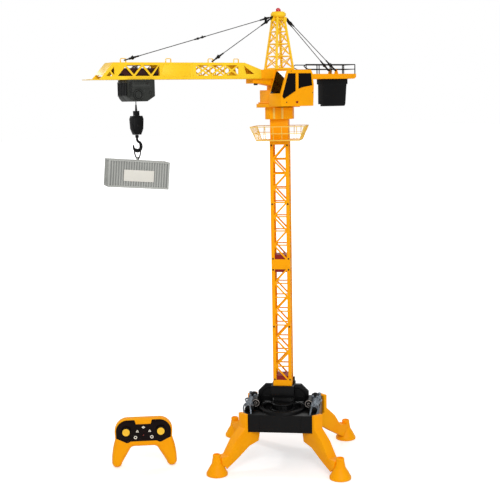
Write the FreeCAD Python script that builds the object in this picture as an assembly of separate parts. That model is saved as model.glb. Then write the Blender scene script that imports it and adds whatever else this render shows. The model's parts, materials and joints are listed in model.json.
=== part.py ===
import FreeCAD, Part

import math
import os

# Toy tower crane, millimetres, +Z up.  The origin is on the floor under the mast.
# The jib points along -X, the counter-jib along +X, and the cab hangs on the -Y side.
# The base is drawn square to the axes and then turned under the jib by base_turn.

V = FreeCAD.Vector
X_AXIS = V(1, 0, 0)
Y_AXIS = V(0, 1, 0)
Z_AXIS = V(0, 0, 1)

# ---- clearances and small hardware ----
running_gap = 0.3
shaft_gap = 0.05
slip_gap = 0.1
screw_radius = 1.0
screw_head_radius = 2.5
screw_head_height = 1.0

# ---- feet and legs ----
base_turn = -40.4
foot_spacing = 342.0
foot_rim_radius = 30.0
foot_rim_height = 8.0
foot_flare_height = 20.0
foot_neck_radius = 15.5
foot_neck_height = 31.0
foot_post_radius = 10.5
foot_height = 60.0
leg_width = 30.0
leg_slab = 9.5
leg_drop = 42.0
leg_wall = 2.8

# ---- base body ----
body_bottom = 104.0
body_top = 154.0
body_half = 106.0
body_wall = 3.0
corner_reach = 143.0
body_panel_half = 58.0
ring_radius = 66.0
ring_band = 11.0
ring_height = 8.0
ring_offset = 40.0
drum_boss_radius = 30.0
drum_boss_height = 18.0
pedestal_half = 33.0
pedestal_height = 33.0
mast_foot = 218.0
neck_half = 26.0
brace_size = 14.0
brace_reach = 73.0
machine_inner = 78.0
machine_outer = 104.0
machine_front = -74.0
machine_rear = 42.0
machine_rise = 17.0
dial_drum_place = (76.0, 171.0)
dial_drum_radius = 12.0
dial_drum_front = -42.0
dial_drum_length = 32.0
deck_knob_place = (90.0, 24.0)
deck_knob_radius = 10.5
battery_length = 92.0
battery_width = 62.0
switch_half = 4.0
switch_travel = 3.6

# ---- mast ----
mast_width = 53.1
mast_wall = 2.5
mast_column = 9.5
section_length = 350.0
band_low = 17.0
band_high = 11.5
bay_count = 8
bay_rail = 3.6
bay_diagonal = 4.6
post_radius = 2.2
plug_rise = 12.0
plug_drop = 20.0
plug_half = 19.0

# ---- service platform and mast head ----
floor_half = 60.0
rail_half = 75.0
railing_height = 38.0
floor_thickness = 2.5
rail_wire = 1.0
head_half = 25.0
head_wall = 3.0
head_height = 59.0
boss_radius = 17.0
hub_radius = 12.0
collar_half = 38.0
collar_height = 32.0
collar_wall = 2.5

# ---- slewing drive ----
gear_module = 1.0
fixed_teeth = 40
pinion_teeth = 10
gear_height = 8.0
tooth_backlash = 0.35
mesh_slack = 0.25
pinion_turn = 135.0
slew_plate_length = 104.0
slew_plate_height = 10.7
slew_plate_near = -24.5
slew_plate_far = 38.0
housing_near = -22.0
housing_far = 36.0
housing_left = -42.0
housing_right = 44.0
housing_height = 37.0
shell_wall = 2.5
motor_radius = 9.0
motor_length = 24.0
turret_half = 25.0
turret_reach = 75.0
arm_end = 98.0
arm_half = 18.0
arm_height = 12.2
knob_place = (-84.0, -9.0)

# ---- jib ----
neck_height = 30.5
jib_height = 42.9
jib_half = 25.0
jib_wall = 2.5
jib_lip = 12.5
jib_lip_thickness = 3.0
jib_root_height = 24.5
jib_shoulder = 128.0
jib_joint = 288.0
jib_nose_end = 551.0
nose_slope = 36.0
nose_plate = 28.0
rack_width = 8.0
rack_height = 4.0
rack_teeth_out = 21
rack_teeth_in = 93

# ---- trolley, hoist and load ----
trolley_place = -443.0
trolley_length = 76.0
trolley_half = 32.0
trolley_height = 54.5
trolley_chamfer = 13.0
carriage_length = 113.0
carriage_half = 19.0
carriage_top = 1116.0
wheel_radius = 5.0
wheel_width = 3.6
axle_radius = 1.5
travel_teeth = 12
hoist_line = -444.0
drum_core = 7.6
drum_flange = 12.0
drum_length = 30.0
rope_radius = 0.9
rope_hole_radius = 4.5
block_hang = 78.5
block_lug = 14.5
block_height = 46.0
block_width = 34.0
block_depth = 14.0
sleeve_length = 16.0
shank_radius = 2.2
hook_drop = 31.9
hook_outer = 13.0
hook_inner = 7.6
hook_depth = 5.0
hook_neck = 4.0
link_wire = 1.25
link_turn = -50.0
lug_drop = 24.1
lug_eye = 2.2
roof_drop = 27.3
container_length = 158.0
container_width = 64.0
container_height = 70.0
container_rib = 1.4
container_ribs = 22
container_turn = -16.0
container_tilt = 5.0
container_shift = -4.0

# ---- cab ----
cab_near = -84.0
cab_far = -25.3
cab_drop = 75.5
cab_height = 98.0
cab_wall = 2.4
pane_thickness = 1.6

# ---- tower top, counter-jib and counterweight ----
tower_half = 30.5
tower_top_half = 14.0
tower_height = 143.0
tower_leg = 5.0
lug_reach = 24.0
lug_half = 2.5
cap_radius = 21.0
cap_height = 14.0
beacon_radius = 8.0
beacon_stem = 3.0
deck_end = 249.0
deck_half = 28.0
deck_rise = 12.5
deck_height = 14.0
deck_lug = (187.0, 15.0)
rail_posts = (111.0, 157.0, 201.0)
hand_rail = 26.0
weight_left = 139.0
weight_right = 229.0
weight_half = 12.0
weight_depth = 91.0
pendant_radius = 0.8
eyelet_places = (476.0, 347.0, 220.0, 140.0)
eyelet_width = 17.0
eyelet_height = 12.0
eyelet_wire = 2.0
eyelet_half = 1.6
fork_wire = 0.8
clip_radius = 2.1
clip_length = 15.0
clip_cap = 2.4
fork_length = 7.5
line_setback = 3.9

# ---- handset ----
handset_place = (-371.7, 166.0)
handset_turn = -27.8
handset_half = 16.0
handset_wall = 2.4
handset_top = 144.0
grip_x = 77.5
grip_radius = 16.5
stick_x = 49.0
stick_z = 108.0
fascia_rim = 3.5
fascia_tab = 21.0
fascia_notch = 128.0
fascia_foot = 74.0
stick_radius = 10.5
stick_well = 13.2
stick_pivot = -7.0
stick_ball = 6.0
lamp_height = 95.5
lamp_radius = 2.0
fascia_depth = 2.0
button_travel = 1.5

# ---- heights that follow ----
mast_half = mast_width / 2
mast_inner = mast_half - mast_wall
section_feet = (mast_foot, mast_foot + section_length)
mast_end = mast_foot + 2 * section_length
head_end = mast_end + head_height
collar_end = head_end + collar_height
plate_bottom = collar_end + running_gap
plate_top = plate_bottom + slew_plate_height
housing_top = plate_top + housing_height
jib_bottom = housing_top + neck_height
jib_top = jib_bottom + jib_height
jib_root_top = jib_bottom + jib_root_height
jib_nose_start = jib_nose_end - nose_slope
nose_plate_end = jib_nose_end + nose_plate
cab_bottom = jib_bottom - cab_drop
cab_top = cab_bottom + cab_height
tower_top = jib_root_top + tower_height
deck_top = jib_bottom + deck_rise
weight_bottom = deck_top - weight_depth
block_top = jib_bottom - block_hang
block_shoulder = block_top - block_lug
block_bottom = block_shoulder - block_height
hook_middle = block_bottom - hook_drop
switch_height = (body_bottom + body_top) / 2
post_place = mast_half - mast_column / 2
foot_reach = foot_spacing / math.sqrt(2)
fixed_pitch = gear_module * fixed_teeth / 2
pinion_pitch = gear_module * pinion_teeth / 2
travel_pitch = gear_module * travel_teeth / 2
pinion_reach = fixed_pitch + pinion_pitch + mesh_slack


# ---- shape helpers ----
def block(x0, x1, y0, y1, z0, z1):
    return Part.makeBox(x1 - x0, y1 - y0, z1 - z0, V(x0, y0, z0))


def cyl(x, y, z, radius, length, axis=Z_AXIS):
    return Part.makeCylinder(radius, length, V(x, y, z), axis)


def rod(start, end, radius):
    start = V(*start)
    end = V(*end)
    return Part.makeCylinder(radius, (end - start).Length, start, end - start)


def spot(axis, u, v, along):
    if axis == "x":
        return V(along, u, v)
    if axis == "y":
        return V(u, along, v)
    return V(u, v, along)


def outline(axis, points, along):
    corners = [spot(axis, u, v, along) for u, v in points]
    return Part.makePolygon(corners + [corners[0]])


def slab(axis, points, low, high, holes=()):
    """Extrude a flat outline from low to high, with its holes left open."""
    wires = [outline(axis, points, low)] + [outline(axis, hole, low) for hole in holes]
    face = Part.makeFace(wires, "Part::FaceMakerBullseye")
    return face.extrude(spot(axis, 0, 0, high - low))


def rectangle(u0, u1, v0, v1):
    return [(u0, v0), (u1, v0), (u1, v1), (u0, v1)]


def chamfered(half_u, half_v, cut):
    return [(-half_u + cut, -half_v), (half_u - cut, -half_v), (half_u, -half_v + cut),
            (half_u, half_v - cut), (half_u - cut, half_v), (-half_u + cut, half_v),
            (-half_u, half_v - cut), (-half_u, -half_v + cut)]


def inset_outline(points, inset):
    """The same outline drawn in by one wall on every side."""
    wire = Part.Face(outline("y", points, 0)).makeOffset2D(-inset, 2)
    return [(v.Point.x, v.Point.z) for v in wire.OuterWire.OrderedVertexes]


def revolve(profile):
    """Turn an outline of (radius, height) points about the Z axis."""
    face = Part.Face(outline("y", profile, 0))
    return face.revolve(V(0, 0, 0), Z_AXIS, 360)


def fuse(shapes):
    joined = shapes[0].multiFuse(shapes[1:]) if len(shapes) > 1 else shapes[0]
    return joined.removeSplitter()


def cut(shape, tools):
    return shape.cut(Part.Compound(tools)) if tools else shape


def moved(shape, offset=(0, 0, 0), turn=0.0, axis=Z_AXIS, about=(0, 0, 0)):
    copy = shape.copy()
    if turn:
        copy.rotate(V(*about), axis, turn)
    copy.translate(V(*offset))
    return copy


def quarter_turns(shape, first=0.0):
    return [moved(shape, turn=first + 90 * k) for k in range(4)]


def on_base(shape):
    """Turn a piece drawn square to the base into its place under the jib."""
    return moved(shape, turn=base_turn)


def half_bays(u0, u1, v0, v1, width, rising):
    """The two triangles that one diagonal leaves open in a lattice bay."""
    length = math.hypot(u1 - u0, v1 - v0)
    shift_v = width / 2 * length / (u1 - u0)
    shift_u = width / 2 * length / (v1 - v0)
    upper = [(u0, v0 + shift_v), (u1 - shift_u, v1), (u0, v1)]
    lower = [(u0 + shift_u, v0), (u1, v0), (u1, v1 - shift_v)]
    if rising:
        return [upper, lower]
    return [[(u0 + u1 - u, v) for u, v in tri] for tri in (upper, lower)]


def gear(teeth, height, phase=0.0):
    """A spur gear about Z with straight-flanked teeth; phase turns a tooth off the +X axis."""
    pitch = gear_module * teeth / 2
    step = 2 * math.pi / teeth
    half = (math.pi * gear_module / 2 - tooth_backlash) / 2 / pitch
    flank = math.tan(math.radians(20))
    tip = pitch + 0.8 * gear_module
    root = pitch - 1.1 * gear_module
    points = []
    for k in range(teeth):
        middle = step * k + math.radians(phase)
        at_tip = half - flank * 0.8 * gear_module / tip
        at_root = half + flank * 0.9 * gear_module / root
        for radius, angle in ((root, -at_root), (tip, -at_tip), (tip, at_tip), (root, at_root)):
            points.append((radius * math.cos(middle + angle), radius * math.sin(middle + angle)))
    return slab("z", points, 0, height)


def screw(x, y, z, length, axis):
    """A pan-head screw whose head sits on the surface at the given point, shank along -axis."""
    head = Part.makeCylinder(screw_head_radius, screw_head_height, V(x, y, z), axis)
    shank = Part.makeCylinder(screw_radius, length, V(x, y, z), axis * -1)
    return head.fuse(shank)


# ---- feet, legs and base body ----
def foot_profile(extra=0.0):
    rim = foot_rim_radius + extra
    neck = foot_neck_radius + extra
    post = foot_post_radius + extra
    return [(0, 0), (rim - 1, 0), (rim, 2), (rim, foot_rim_height), (rim - 5, foot_flare_height),
            (neck, foot_neck_height), (neck - 2.5, foot_neck_height + 10), (post, foot_height - 4),
            (post - 1.5, foot_height), (0, foot_height)]


def leg():
    """One leg along +X: a slab up the body's corner, then a deep beam down to the foot."""
    outer = corner_reach + leg_slab
    heel = corner_reach - 44
    side = [(heel, body_bottom), (heel + 3, body_bottom - 14), (heel + 6, body_bottom - 31),
            (corner_reach - 4, body_bottom - 40), (corner_reach + 35, body_bottom - 66),
            (foot_reach - 24, 15), (foot_reach - 12, 15), (foot_reach - 6, foot_height - 10),
            (foot_reach - 32, foot_height - 9), (outer + 32, body_bottom - 15),
            (outer, body_top - leg_drop + 6), (outer, body_top + 4), (corner_reach, body_top + 4),
            (corner_reach, body_bottom)]
    beam = slab("y", side, -leg_width / 2, leg_width / 2)
    half = leg_width / 2 - leg_wall
    room = slab("y", inset_outline(side, leg_wall), -half, half)
    room = room.fuse(moved(room, (0, 0, -2 * leg_wall)))
    room = room.common(block(0, foot_reach - foot_rim_radius - 10, -half, half, 0, body_top))
    socket = moved(revolve(foot_profile(slip_gap)), (foot_reach, 0, 0))
    return cut(beam, [room, socket])


def legs():
    return [on_base(s) for s in quarter_turns(leg(), 45)]


def feet():
    """The bell feet, each with a recess on top of its post."""
    recess = cyl(0, 0, foot_height - 6, foot_post_radius - 3.5, 6)
    foot = moved(revolve(foot_profile()).cut(recess), (foot_reach, 0, 0))
    return [on_base(s) for s in quarter_turns(foot, 45)]


def base_plan(inset=0.0):
    """The body's square outline, its corners cut where the legs' slabs stand."""
    half = body_half - inset
    return chamfered(half, half, 2 * half - (corner_reach - inset) * math.sqrt(2))


def bottom_split():
    return body_bottom + 3.0


def base_deck():
    """The black upper moulding: walls, deck, the round dish and its ribbed boss."""
    shell = slab("z", base_plan(), bottom_split(), body_top)
    hollow = slab("z", base_plan(body_wall), bottom_split() - 1, body_top - body_wall)
    pieces = [shell.cut(hollow)]
    rooms = [block(-neck_half + body_wall, neck_half - body_wall, -neck_half + body_wall, neck_half - body_wall,
                   bottom_split(), mast_foot - pedestal_height - body_wall)]
    for sign in (-1, 1):
        ring = cyl(0, sign * ring_offset, body_top, ring_radius, ring_height)
        well = cyl(0, sign * ring_offset, body_top, ring_radius - ring_band, ring_height)
        boss = cyl(0, sign * (ring_offset - 4), body_top, drum_boss_radius, drum_boss_height)
        ribs = [moved(block(-1.5, 1.5, 0, drum_boss_radius + 2, body_top, body_top + drum_boss_height - 4),
                      (0, sign * (ring_offset - 4), 0), turn=(0 if sign > 0 else 180) + a)
                for a in (-14, 0, 14)]
        pieces += [ring.cut(well), boss] + ribs
        rooms.append(cyl(0, sign * (ring_offset - 4), bottom_split(), drum_boss_radius - body_wall,
                         body_top + drum_boss_height - body_wall - bottom_split()))
    neck = block(-neck_half, neck_half, -neck_half, neck_half, body_top - body_wall,
                 mast_foot - pedestal_height)
    limits = slab("z", base_plan(), bottom_split(), mast_foot)
    deck = fuse(pieces + [neck]).common(limits)
    groove = [block(x - 0.9, x + 0.9, -body_half, -body_half + 1, bottom_split(), body_top - 4)
              for x in (-body_panel_half, body_panel_half)]
    grooves = [moved(g, turn=90 * k) for k in range(4) for g in groove]
    switch_slot = block(-switch_half - 4, switch_half + 4, body_half - body_wall - 1, body_half + 1,
                        switch_height - 3.5, switch_height + 3.5)
    return on_base(cut(deck, grooves + rooms + [switch_slot]))


def power_switch():
    """The slide switch in the rear wall, with a slider that fills most of its slot's height."""
    knob = block(-switch_half, switch_half, body_half - body_wall - 2.2, body_half + 1.6,
                 switch_height - 3.2, switch_height + 3.2)
    keeper = block(-switch_half - 3.5, switch_half + 3.5, body_half - body_wall - 2.4,
                   body_half - body_wall - running_gap, switch_height - 6, switch_height + 6)
    return on_base(moved(fuse([knob, keeper]), (-switch_travel, 0, 0)))


def battery_opening(extra=0.0):
    return rectangle(-battery_length / 2 - extra, battery_length / 2 + extra,
                     -battery_width / 2 - extra, battery_width / 2 + extra)


def base_bottom():
    """The floor of the base, with a tray that holds the cells."""
    plate = slab("z", base_plan(), body_bottom, bottom_split(), [battery_opening()])
    tray_top = bottom_split() + 22
    outer = slab("z", battery_opening(2), bottom_split(), tray_top)
    inner = slab("z", battery_opening(), bottom_split(), tray_top - 2)
    pillars = [cyl(sx * 80, sy * 80, bottom_split(), 4, body_top - body_wall - bottom_split())
               for sx in (-1, 1) for sy in (-1, 1)]
    return on_base(fuse([plate, outer.cut(inner)] + pillars))


def battery_cover():
    inset = -slip_gap
    panel = slab("z", battery_opening(inset), body_bottom, bottom_split() - 0.6)
    grip = [block(x, x + 1.6, -12, 12, body_bottom - 1, body_bottom) for x in (-8, -4, 0, 4)]
    return on_base(fuse([panel] + [moved(g, (28, 0, 1)) for g in grip]))


def batteries():
    """Four AA cells side by side in the tray."""
    radius = 7.1
    length = 50.5
    cells = []
    for k in range(4):
        y = (k - 1.5) * (2 * radius + 0.6)
        can = cyl(-length / 2, y, bottom_split() + radius, radius, length - 1.5, X_AXIS)
        tip = cyl(length / 2 - 1.5, y, bottom_split() + radius, 2.6, 1.5, X_AXIS)
        cells.append(on_base(can.fuse(tip)))
    return cells


def both_sides(shape):
    """The shape and its mirror image on the other side of the base's middle."""
    return [on_base(shape), on_base(shape.mirror(V(0, 0, 0), X_AXIS))]


def deck_machines():
    """Grey moulded machinery along each side of the deck: a long block, a drum with a dial, bolts."""
    top = body_top + machine_rise
    side = [(machine_inner, body_top), (machine_outer, body_top), (machine_outer, top - 8),
            (machine_outer - 7, top), (machine_inner, top)]
    room = slab("y", inset_outline(side, shell_wall), machine_front + shell_wall, machine_rear - shell_wall)
    shell = slab("y", side, machine_front, machine_rear)
    shell = shell.cut(room.fuse(moved(room, (0, 0, -shell_wall))))
    x, z = dial_drum_place
    drum = cyl(x, dial_drum_front, z, dial_drum_radius, dial_drum_length, Y_AXIS)
    dial = cyl(x, dial_drum_front - 2.2, z, dial_drum_radius - 2.5, 3, Y_AXIS)
    hub = cyl(x, dial_drum_front - 4, z, 4, 5, Y_AXIS)
    saddle = block(x - 7.5, machine_inner + 1, dial_drum_front + 2, dial_drum_front + dial_drum_length - 2,
                   body_top, z)
    bolts = [cyl(machine_outer - 13, y, top - 0.5, 3, 3) for y in (-64, -50, -36)]
    bolts += [cyl(machine_outer - 1, y, body_top + 5, 2.6, 2.6, X_AXIS) for y in (-56, -14, 28)]
    return both_sides(fuse([shell.cut(drum), drum, dial, hub, saddle] + bolts))


def deck_knobs():
    """The black knob on top of each side's machinery."""
    base = body_top + machine_rise
    x, y = deck_knob_place
    return both_sides(fuse([cyl(x, y, base, deck_knob_radius - 3, 4),
                            cyl(x, y, base + 2.5, deck_knob_radius, 8),
                            cyl(x, y, base + 10.5, deck_knob_radius - 3.5, 2.5)]))


def pedestal():
    """The socket block under the mast, with a bent brace on its left and right down to the deck."""
    low = mast_foot - pedestal_height
    solid = block(-pedestal_half, pedestal_half, -pedestal_half, pedestal_half, low, mast_foot)
    bend = brace_reach - 21
    side = [(pedestal_half - 1, mast_foot - 1), (bend, mast_foot - 1), (brace_reach, mast_foot - 22),
            (brace_reach, body_top), (brace_reach - 11, body_top), (brace_reach - 11, mast_foot - 28),
            (bend - 5, mast_foot - 14), (pedestal_half - 1, mast_foot - 14)]
    brace = slab("y", side, -brace_size / 2, brace_size / 2)
    socket = block(-plug_half - slip_gap, plug_half + slip_gap, -mast_inner - slip_gap,
                   mast_inner + slip_gap, mast_foot - plug_drop - 1, mast_foot)
    return on_base(fuse([solid, brace, moved(brace, turn=180)]).cut(socket))


def lead_socket():
    """The plug of the mast lead, standing beside the mast foot."""
    x = mast_half + 1.2
    return on_base(fuse([block(x, x + 4.5, 8, 16, mast_foot, mast_foot + 17),
                         block(x - 0.7, x + 5.2, 7, 17, mast_foot, mast_foot + 5)]))


# ---- mast ----
def section_holes(foot):
    """Open triangles of one mast face, from the lowest bay up."""
    low = foot + band_low
    pitch = (section_length - band_low - band_high) / bay_count
    edge = mast_half - mast_column
    holes = []
    for k in range(bay_count):
        v0 = low + k * pitch + (bay_rail / 2 if k else 0)
        v1 = low + (k + 1) * pitch - (bay_rail / 2 if k < bay_count - 1 else 0)
        holes += half_bays(-edge, edge, v0, v1, bay_diagonal, (bay_count - k) % 2 == 1)
    return holes


def screw_rows(foot):
    return (foot + band_low + 1.5, foot + section_length / 2 - 2, foot + section_length - band_high - 1.5)


def mast_front(foot):
    """The front of a section: the front face and both side faces in one moulding."""
    top = foot + section_length
    face = slab("y", rectangle(-mast_half, mast_half, foot, top), -mast_half, -mast_inner, section_holes(foot))
    sides = [slab("x", rectangle(-mast_half, mast_inner, foot, top), low, low + mast_wall, section_holes(foot))
             for low in (-mast_half, mast_inner)]
    bores = [cyl(s * post_place, -mast_half, z, screw_radius + shaft_gap, mast_wall, Y_AXIS)
             for s in (-1, 1) for z in screw_rows(foot)]
    return on_base(cut(fuse([face] + sides), bores))


def mast_rear(foot):
    """The rear face of a section, with the posts that the front's screws bite into."""
    top = foot + section_length
    face = slab("y", rectangle(-mast_half, mast_half, foot, top), mast_inner, mast_half, section_holes(foot))
    posts = [cyl(s * post_place, -mast_inner, z, post_radius, 2 * mast_inner, Y_AXIS)
             for s in (-1, 1) for z in screw_rows(foot)]
    pilots = [cyl(s * post_place, -mast_inner, z, screw_radius + shaft_gap, 13, Y_AXIS)
              for s in (-1, 1) for z in screw_rows(foot)]
    return on_base(cut(fuse([face] + posts), pilots))


def mast_screws():
    return [on_base(screw(s * post_place, -mast_half, z, 12, Y_AXIS * -1))
            for foot in section_feet for s in (-1, 1) for z in screw_rows(foot)]


def mast_plugs():
    """Red sleeves that join each section to what stands under it."""
    plugs = []
    for foot in section_feet:
        low = foot - plug_drop
        high = foot + band_low + plug_rise
        outer = block(-plug_half, plug_half, -mast_inner, mast_inner, low, high)
        room = block(-plug_half + body_wall, plug_half - body_wall, -mast_inner + body_wall,
                     mast_inner - body_wall, low, high - body_wall)
        plugs.append(on_base(outer.cut(room)))
    return plugs


# ---- platform, mast head and collar ----
def basket_side(turned):
    """One flared railing; the two turned ones stop between the others' corner posts."""
    levels = [mast_end + floor_thickness / 2 + railing_height * share for share in (0.0, 0.5, 1.0)]
    reach = [floor_half + (rail_half - floor_half) * share - rail_wire for share in (0.0, 0.5, 1.0)]
    pieces = []
    for half, level in zip(reach[1:], levels[1:]):
        end = half - rail_wire - 2 * running_gap if turned else half + rail_wire
        pieces.append(block(-end, end, -half - rail_wire, -half + rail_wire, level - rail_wire, level + rail_wire))
    for stop in (-0.9, -0.57, -0.2, 0.2, 0.57, 0.9):
        pieces.append(rod((stop * reach[0], -reach[0], levels[0]),
                          (stop * reach[0], -reach[2], levels[2]), rail_wire * 0.9))
    if not turned:
        pieces += [rod((s * reach[0], -reach[0], levels[0]), (s * reach[2], -reach[2], levels[2]), rail_wire)
                   for s in (-1, 1)]
    return fuse(pieces)


def platform():
    """The walkway's floor and the four flared railings clipped on its edges."""
    hole = rectangle(-head_half - slip_gap, head_half + slip_gap, -head_half - slip_gap, head_half + slip_gap)
    sole = mast_end + floor_thickness
    edge = rectangle(-floor_half, floor_half, -floor_half, floor_half)
    floor = slab("z", edge, mast_end, sole, [hole])
    under = block(-rail_half, rail_half, -rail_half, rail_half, mast_end - floor_thickness, sole)
    sides = [moved(basket_side(k % 2 == 1).cut(under), turn=90 * k) for k in range(4)]
    return [on_base(piece) for piece in [floor] + sides]


def mast_head():
    """The square column above the platform, with the fixed gear and the bore that the hub turns in."""
    outer = block(-head_half, head_half, -head_half, head_half, mast_end, head_end)
    room = head_half - head_wall
    inner = block(-room, room, -room, room, mast_end + head_wall, head_end - head_wall)
    spigot = block(-plug_half, plug_half, -mast_inner, mast_inner, mast_end - 8, mast_end)
    boss = cyl(0, 0, head_end - 14, boss_radius, 14 + 6)
    ring = moved(gear(fixed_teeth, gear_height), (0, 0, head_end + 6))
    bore = cyl(0, 0, head_end - 15, hub_radius + shaft_gap, 60)
    return on_base(fuse([outer.cut(inner), spigot, boss, ring]).cut(bore))


def slew_collar():
    """The eight-sided skirt around the slewing gear."""
    cut_size = collar_half * (2 - math.sqrt(2))
    outer = slab("z", chamfered(collar_half, collar_half, cut_size * 0.62), head_end, collar_end)
    half = collar_half - collar_wall
    inner = slab("z", chamfered(half, half, cut_size * 0.58), head_end + collar_wall, collar_end)
    ribs = [block(x - 2.2, x + 2.2, -collar_half - 1.2, -collar_half + 1, head_end + 1, collar_end)
            for x in (-11.5, 11.5)]
    hole = cyl(0, 0, head_end, boss_radius + shaft_gap, collar_wall)
    shell = fuse([outer.cut(inner)] + [r for k in (0, 2) for r in [moved(q, turn=90 * k) for q in ribs]])
    return on_base(shell.cut(hole))


# ---- slewing platform and turret ----
pinion_x = pinion_reach * math.cos(math.radians(pinion_turn))
pinion_y = pinion_reach * math.sin(math.radians(pinion_turn))


def slew_plate():
    """The turning plate, its hub in the mast head and the hole for the pinion's shaft."""
    half = slew_plate_length / 2
    plate = block(-half, half, slew_plate_near, slew_plate_far, plate_bottom, plate_top)
    hub = cyl(0, 0, head_end - 16, hub_radius, plate_bottom - head_end + 17)
    wires = cyl(0, 0, head_end - 17, hub_radius - 4, 80)
    shaft = cyl(pinion_x, pinion_y, plate_bottom - 1, 2.0, 20)
    return fuse([plate, hub]).cut(Part.Compound([wires, shaft]))


def slew_housing():
    """The box on the slew plate that covers the motor."""
    outer = block(housing_left, housing_right, housing_near, housing_far, plate_top, housing_top)
    inner = block(housing_left + shell_wall, housing_right - shell_wall, housing_near + shell_wall,
                  housing_far - shell_wall, plate_top, housing_top - shell_wall)
    step = block(housing_left - 6, housing_left, housing_near, housing_far, plate_top, plate_top + 4)
    return fuse([outer.cut(inner), step])


def slew_motor():
    can = cyl(pinion_x, pinion_y, plate_top + 2, motor_radius, motor_length)
    nose = cyl(pinion_x, pinion_y, plate_top, 4, 2)
    tail = cyl(pinion_x, pinion_y, plate_top + 2 + motor_length, 3, 1.6)
    bore = cyl(pinion_x, pinion_y, plate_top, 1.5 + shaft_gap, 12)
    return fuse([can, nose, tail]).cut(bore)


def slew_pinion():
    """The pinion that walks round the fixed gear, on its shaft from the motor."""
    phase = base_turn
    tooth = 360.0 / pinion_teeth
    rolled = (pinion_turn - phase) * fixed_teeth / pinion_teeth
    turn = (180 + pinion_turn + rolled + tooth / 2) % tooth
    wheel = moved(gear(pinion_teeth, gear_height - 1, turn), (0, 0, head_end + 6.5))
    shaft = cyl(0, 0, head_end + 6.5, 1.5, plate_top + 10 - head_end - 6.5)
    return moved(wheel.fuse(shaft), (pinion_x, pinion_y, 0))


def turret_frame():
    """The neck on the slew housing and the head block that both jibs bolt to."""
    room = turret_half - shell_wall
    neck = block(-turret_half, turret_half, -turret_half + 4, turret_half, housing_top, jib_bottom)
    neck_hollow = block(-room, room, -room + 4, room, housing_top, jib_bottom)
    head = block(-turret_reach, turret_reach, -turret_half, turret_half, jib_bottom, jib_root_top)
    head_hollow = block(-turret_reach + 6, turret_reach - 6, -room, room, jib_bottom + 2, jib_root_top - 3)
    low = jib_bottom - arm_height
    lug = block(-arm_end, -72, -arm_half, arm_half, low, jib_bottom - running_gap)
    arm = slab("y", [(-76, low), (-70, low), (-turret_half, jib_bottom - 20), (-turret_half, jib_bottom + 1),
                     (-turret_reach + 1, jib_bottom + 1), (-turret_reach + 1, jib_bottom - running_gap),
                     (-76, jib_bottom - running_gap)], -arm_half, arm_half)
    frame = fuse([neck.cut(neck_hollow), head.cut(head_hollow), lug, arm])
    return frame.cut(cyl(*knob_place, low - 1, 2.2, arm_height + 2))


def jib_knob():
    """The thumbscrew that holds the jib's root on the turret's arm."""
    low = jib_bottom - arm_height
    return fuse([cyl(*knob_place, low - 4.8, 5.5, 4.7), cyl(*knob_place, low - 0.2, 2.15, arm_height - 0.1)])


# ---- cab ----
cab_side = [(-52.5, cab_bottom), (-52.5, cab_bottom + 31), (-29.0, cab_top), (49.0, cab_top),
            (53.5, cab_top - 10), (57.5, cab_top - 41), (55.0, cab_bottom)]
door_pane = [(-48.6, cab_bottom + 27.0), (-43.0, cab_bottom + 20.0), (-3.7, cab_bottom + 41.0),
             (-3.5, cab_top - 9.5), (-28.2, cab_top - 9.5)]
rear_pane = [(5.2, cab_bottom + 46.5), (21.5, cab_bottom + 51.0), (52.0, cab_bottom + 55.5),
             (48.3, cab_top - 9.5), (5.4, cab_top - 9.5)]


def windscreen(low, high):
    """A slab square to the raked front, between the depths low and high behind its surface."""
    foot = V(cab_side[1][0], 0, cab_side[1][1])
    head = V(cab_side[2][0], 0, cab_side[2][1])
    up = (head - foot).normalize()
    inward = up.cross(Y_AXIS)
    inward = inward if inward.x > 0 else inward * -1
    size = (head - foot).Length
    corners = []
    for along, depth in ((4.5, low), (size - 3.5, low), (size - 3.5, high), (4.5, high)):
        point = foot + up * along + inward * depth
        corners.append((point.x, point.z))
    return slab("y", corners, cab_near + 7, cab_far - 4)


def rear_window(x0, x1):
    return block(x0, x1, cab_near + 9, cab_far - 7, cab_bottom + 58, cab_top - 13)


def cab_openings():
    panes = [slab("y", p, cab_near - 1, cab_near + cab_wall + 1) for p in (door_pane, rear_pane)]
    return panes + [windscreen(-1, cab_wall + 1.5), rear_window(48, 64)]


def cab_shell():
    """The cab: side walls, roof, nose and floor with the window openings."""
    outer = slab("y", cab_side, cab_near, cab_far)
    inner = slab("y", inset_outline(cab_side, cab_wall), cab_near + cab_wall, cab_far - cab_wall)
    frames = [slab("y", inset_outline(p, -1.8), cab_near - 0.8, cab_near) for p in (door_pane, rear_pane)]
    return cut(fuse([outer.cut(inner)] + frames), cab_openings())


def cab_windows():
    """Dark panes that fill the openings, set a little behind the surface."""
    low = cab_near + 0.5
    panes = [slab("y", p, low, low + pane_thickness) for p in (door_pane, rear_pane)]
    front = windscreen(0.5, 0.5 + pane_thickness)
    shell = slab("y", cab_side, cab_near, cab_far)
    rear = rear_window(48, 64).common(moved(shell, (-0.5, 0, 0)))
    rear = rear.cut(moved(shell, (-0.5 - pane_thickness, 0, 0)))
    return panes + [front, rear]


# ---- tower top ----
def tower_corner(z):
    share = (z - jib_root_top) / (tower_top - jib_root_top)
    return tower_half + (tower_top_half - tower_half) * share


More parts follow.
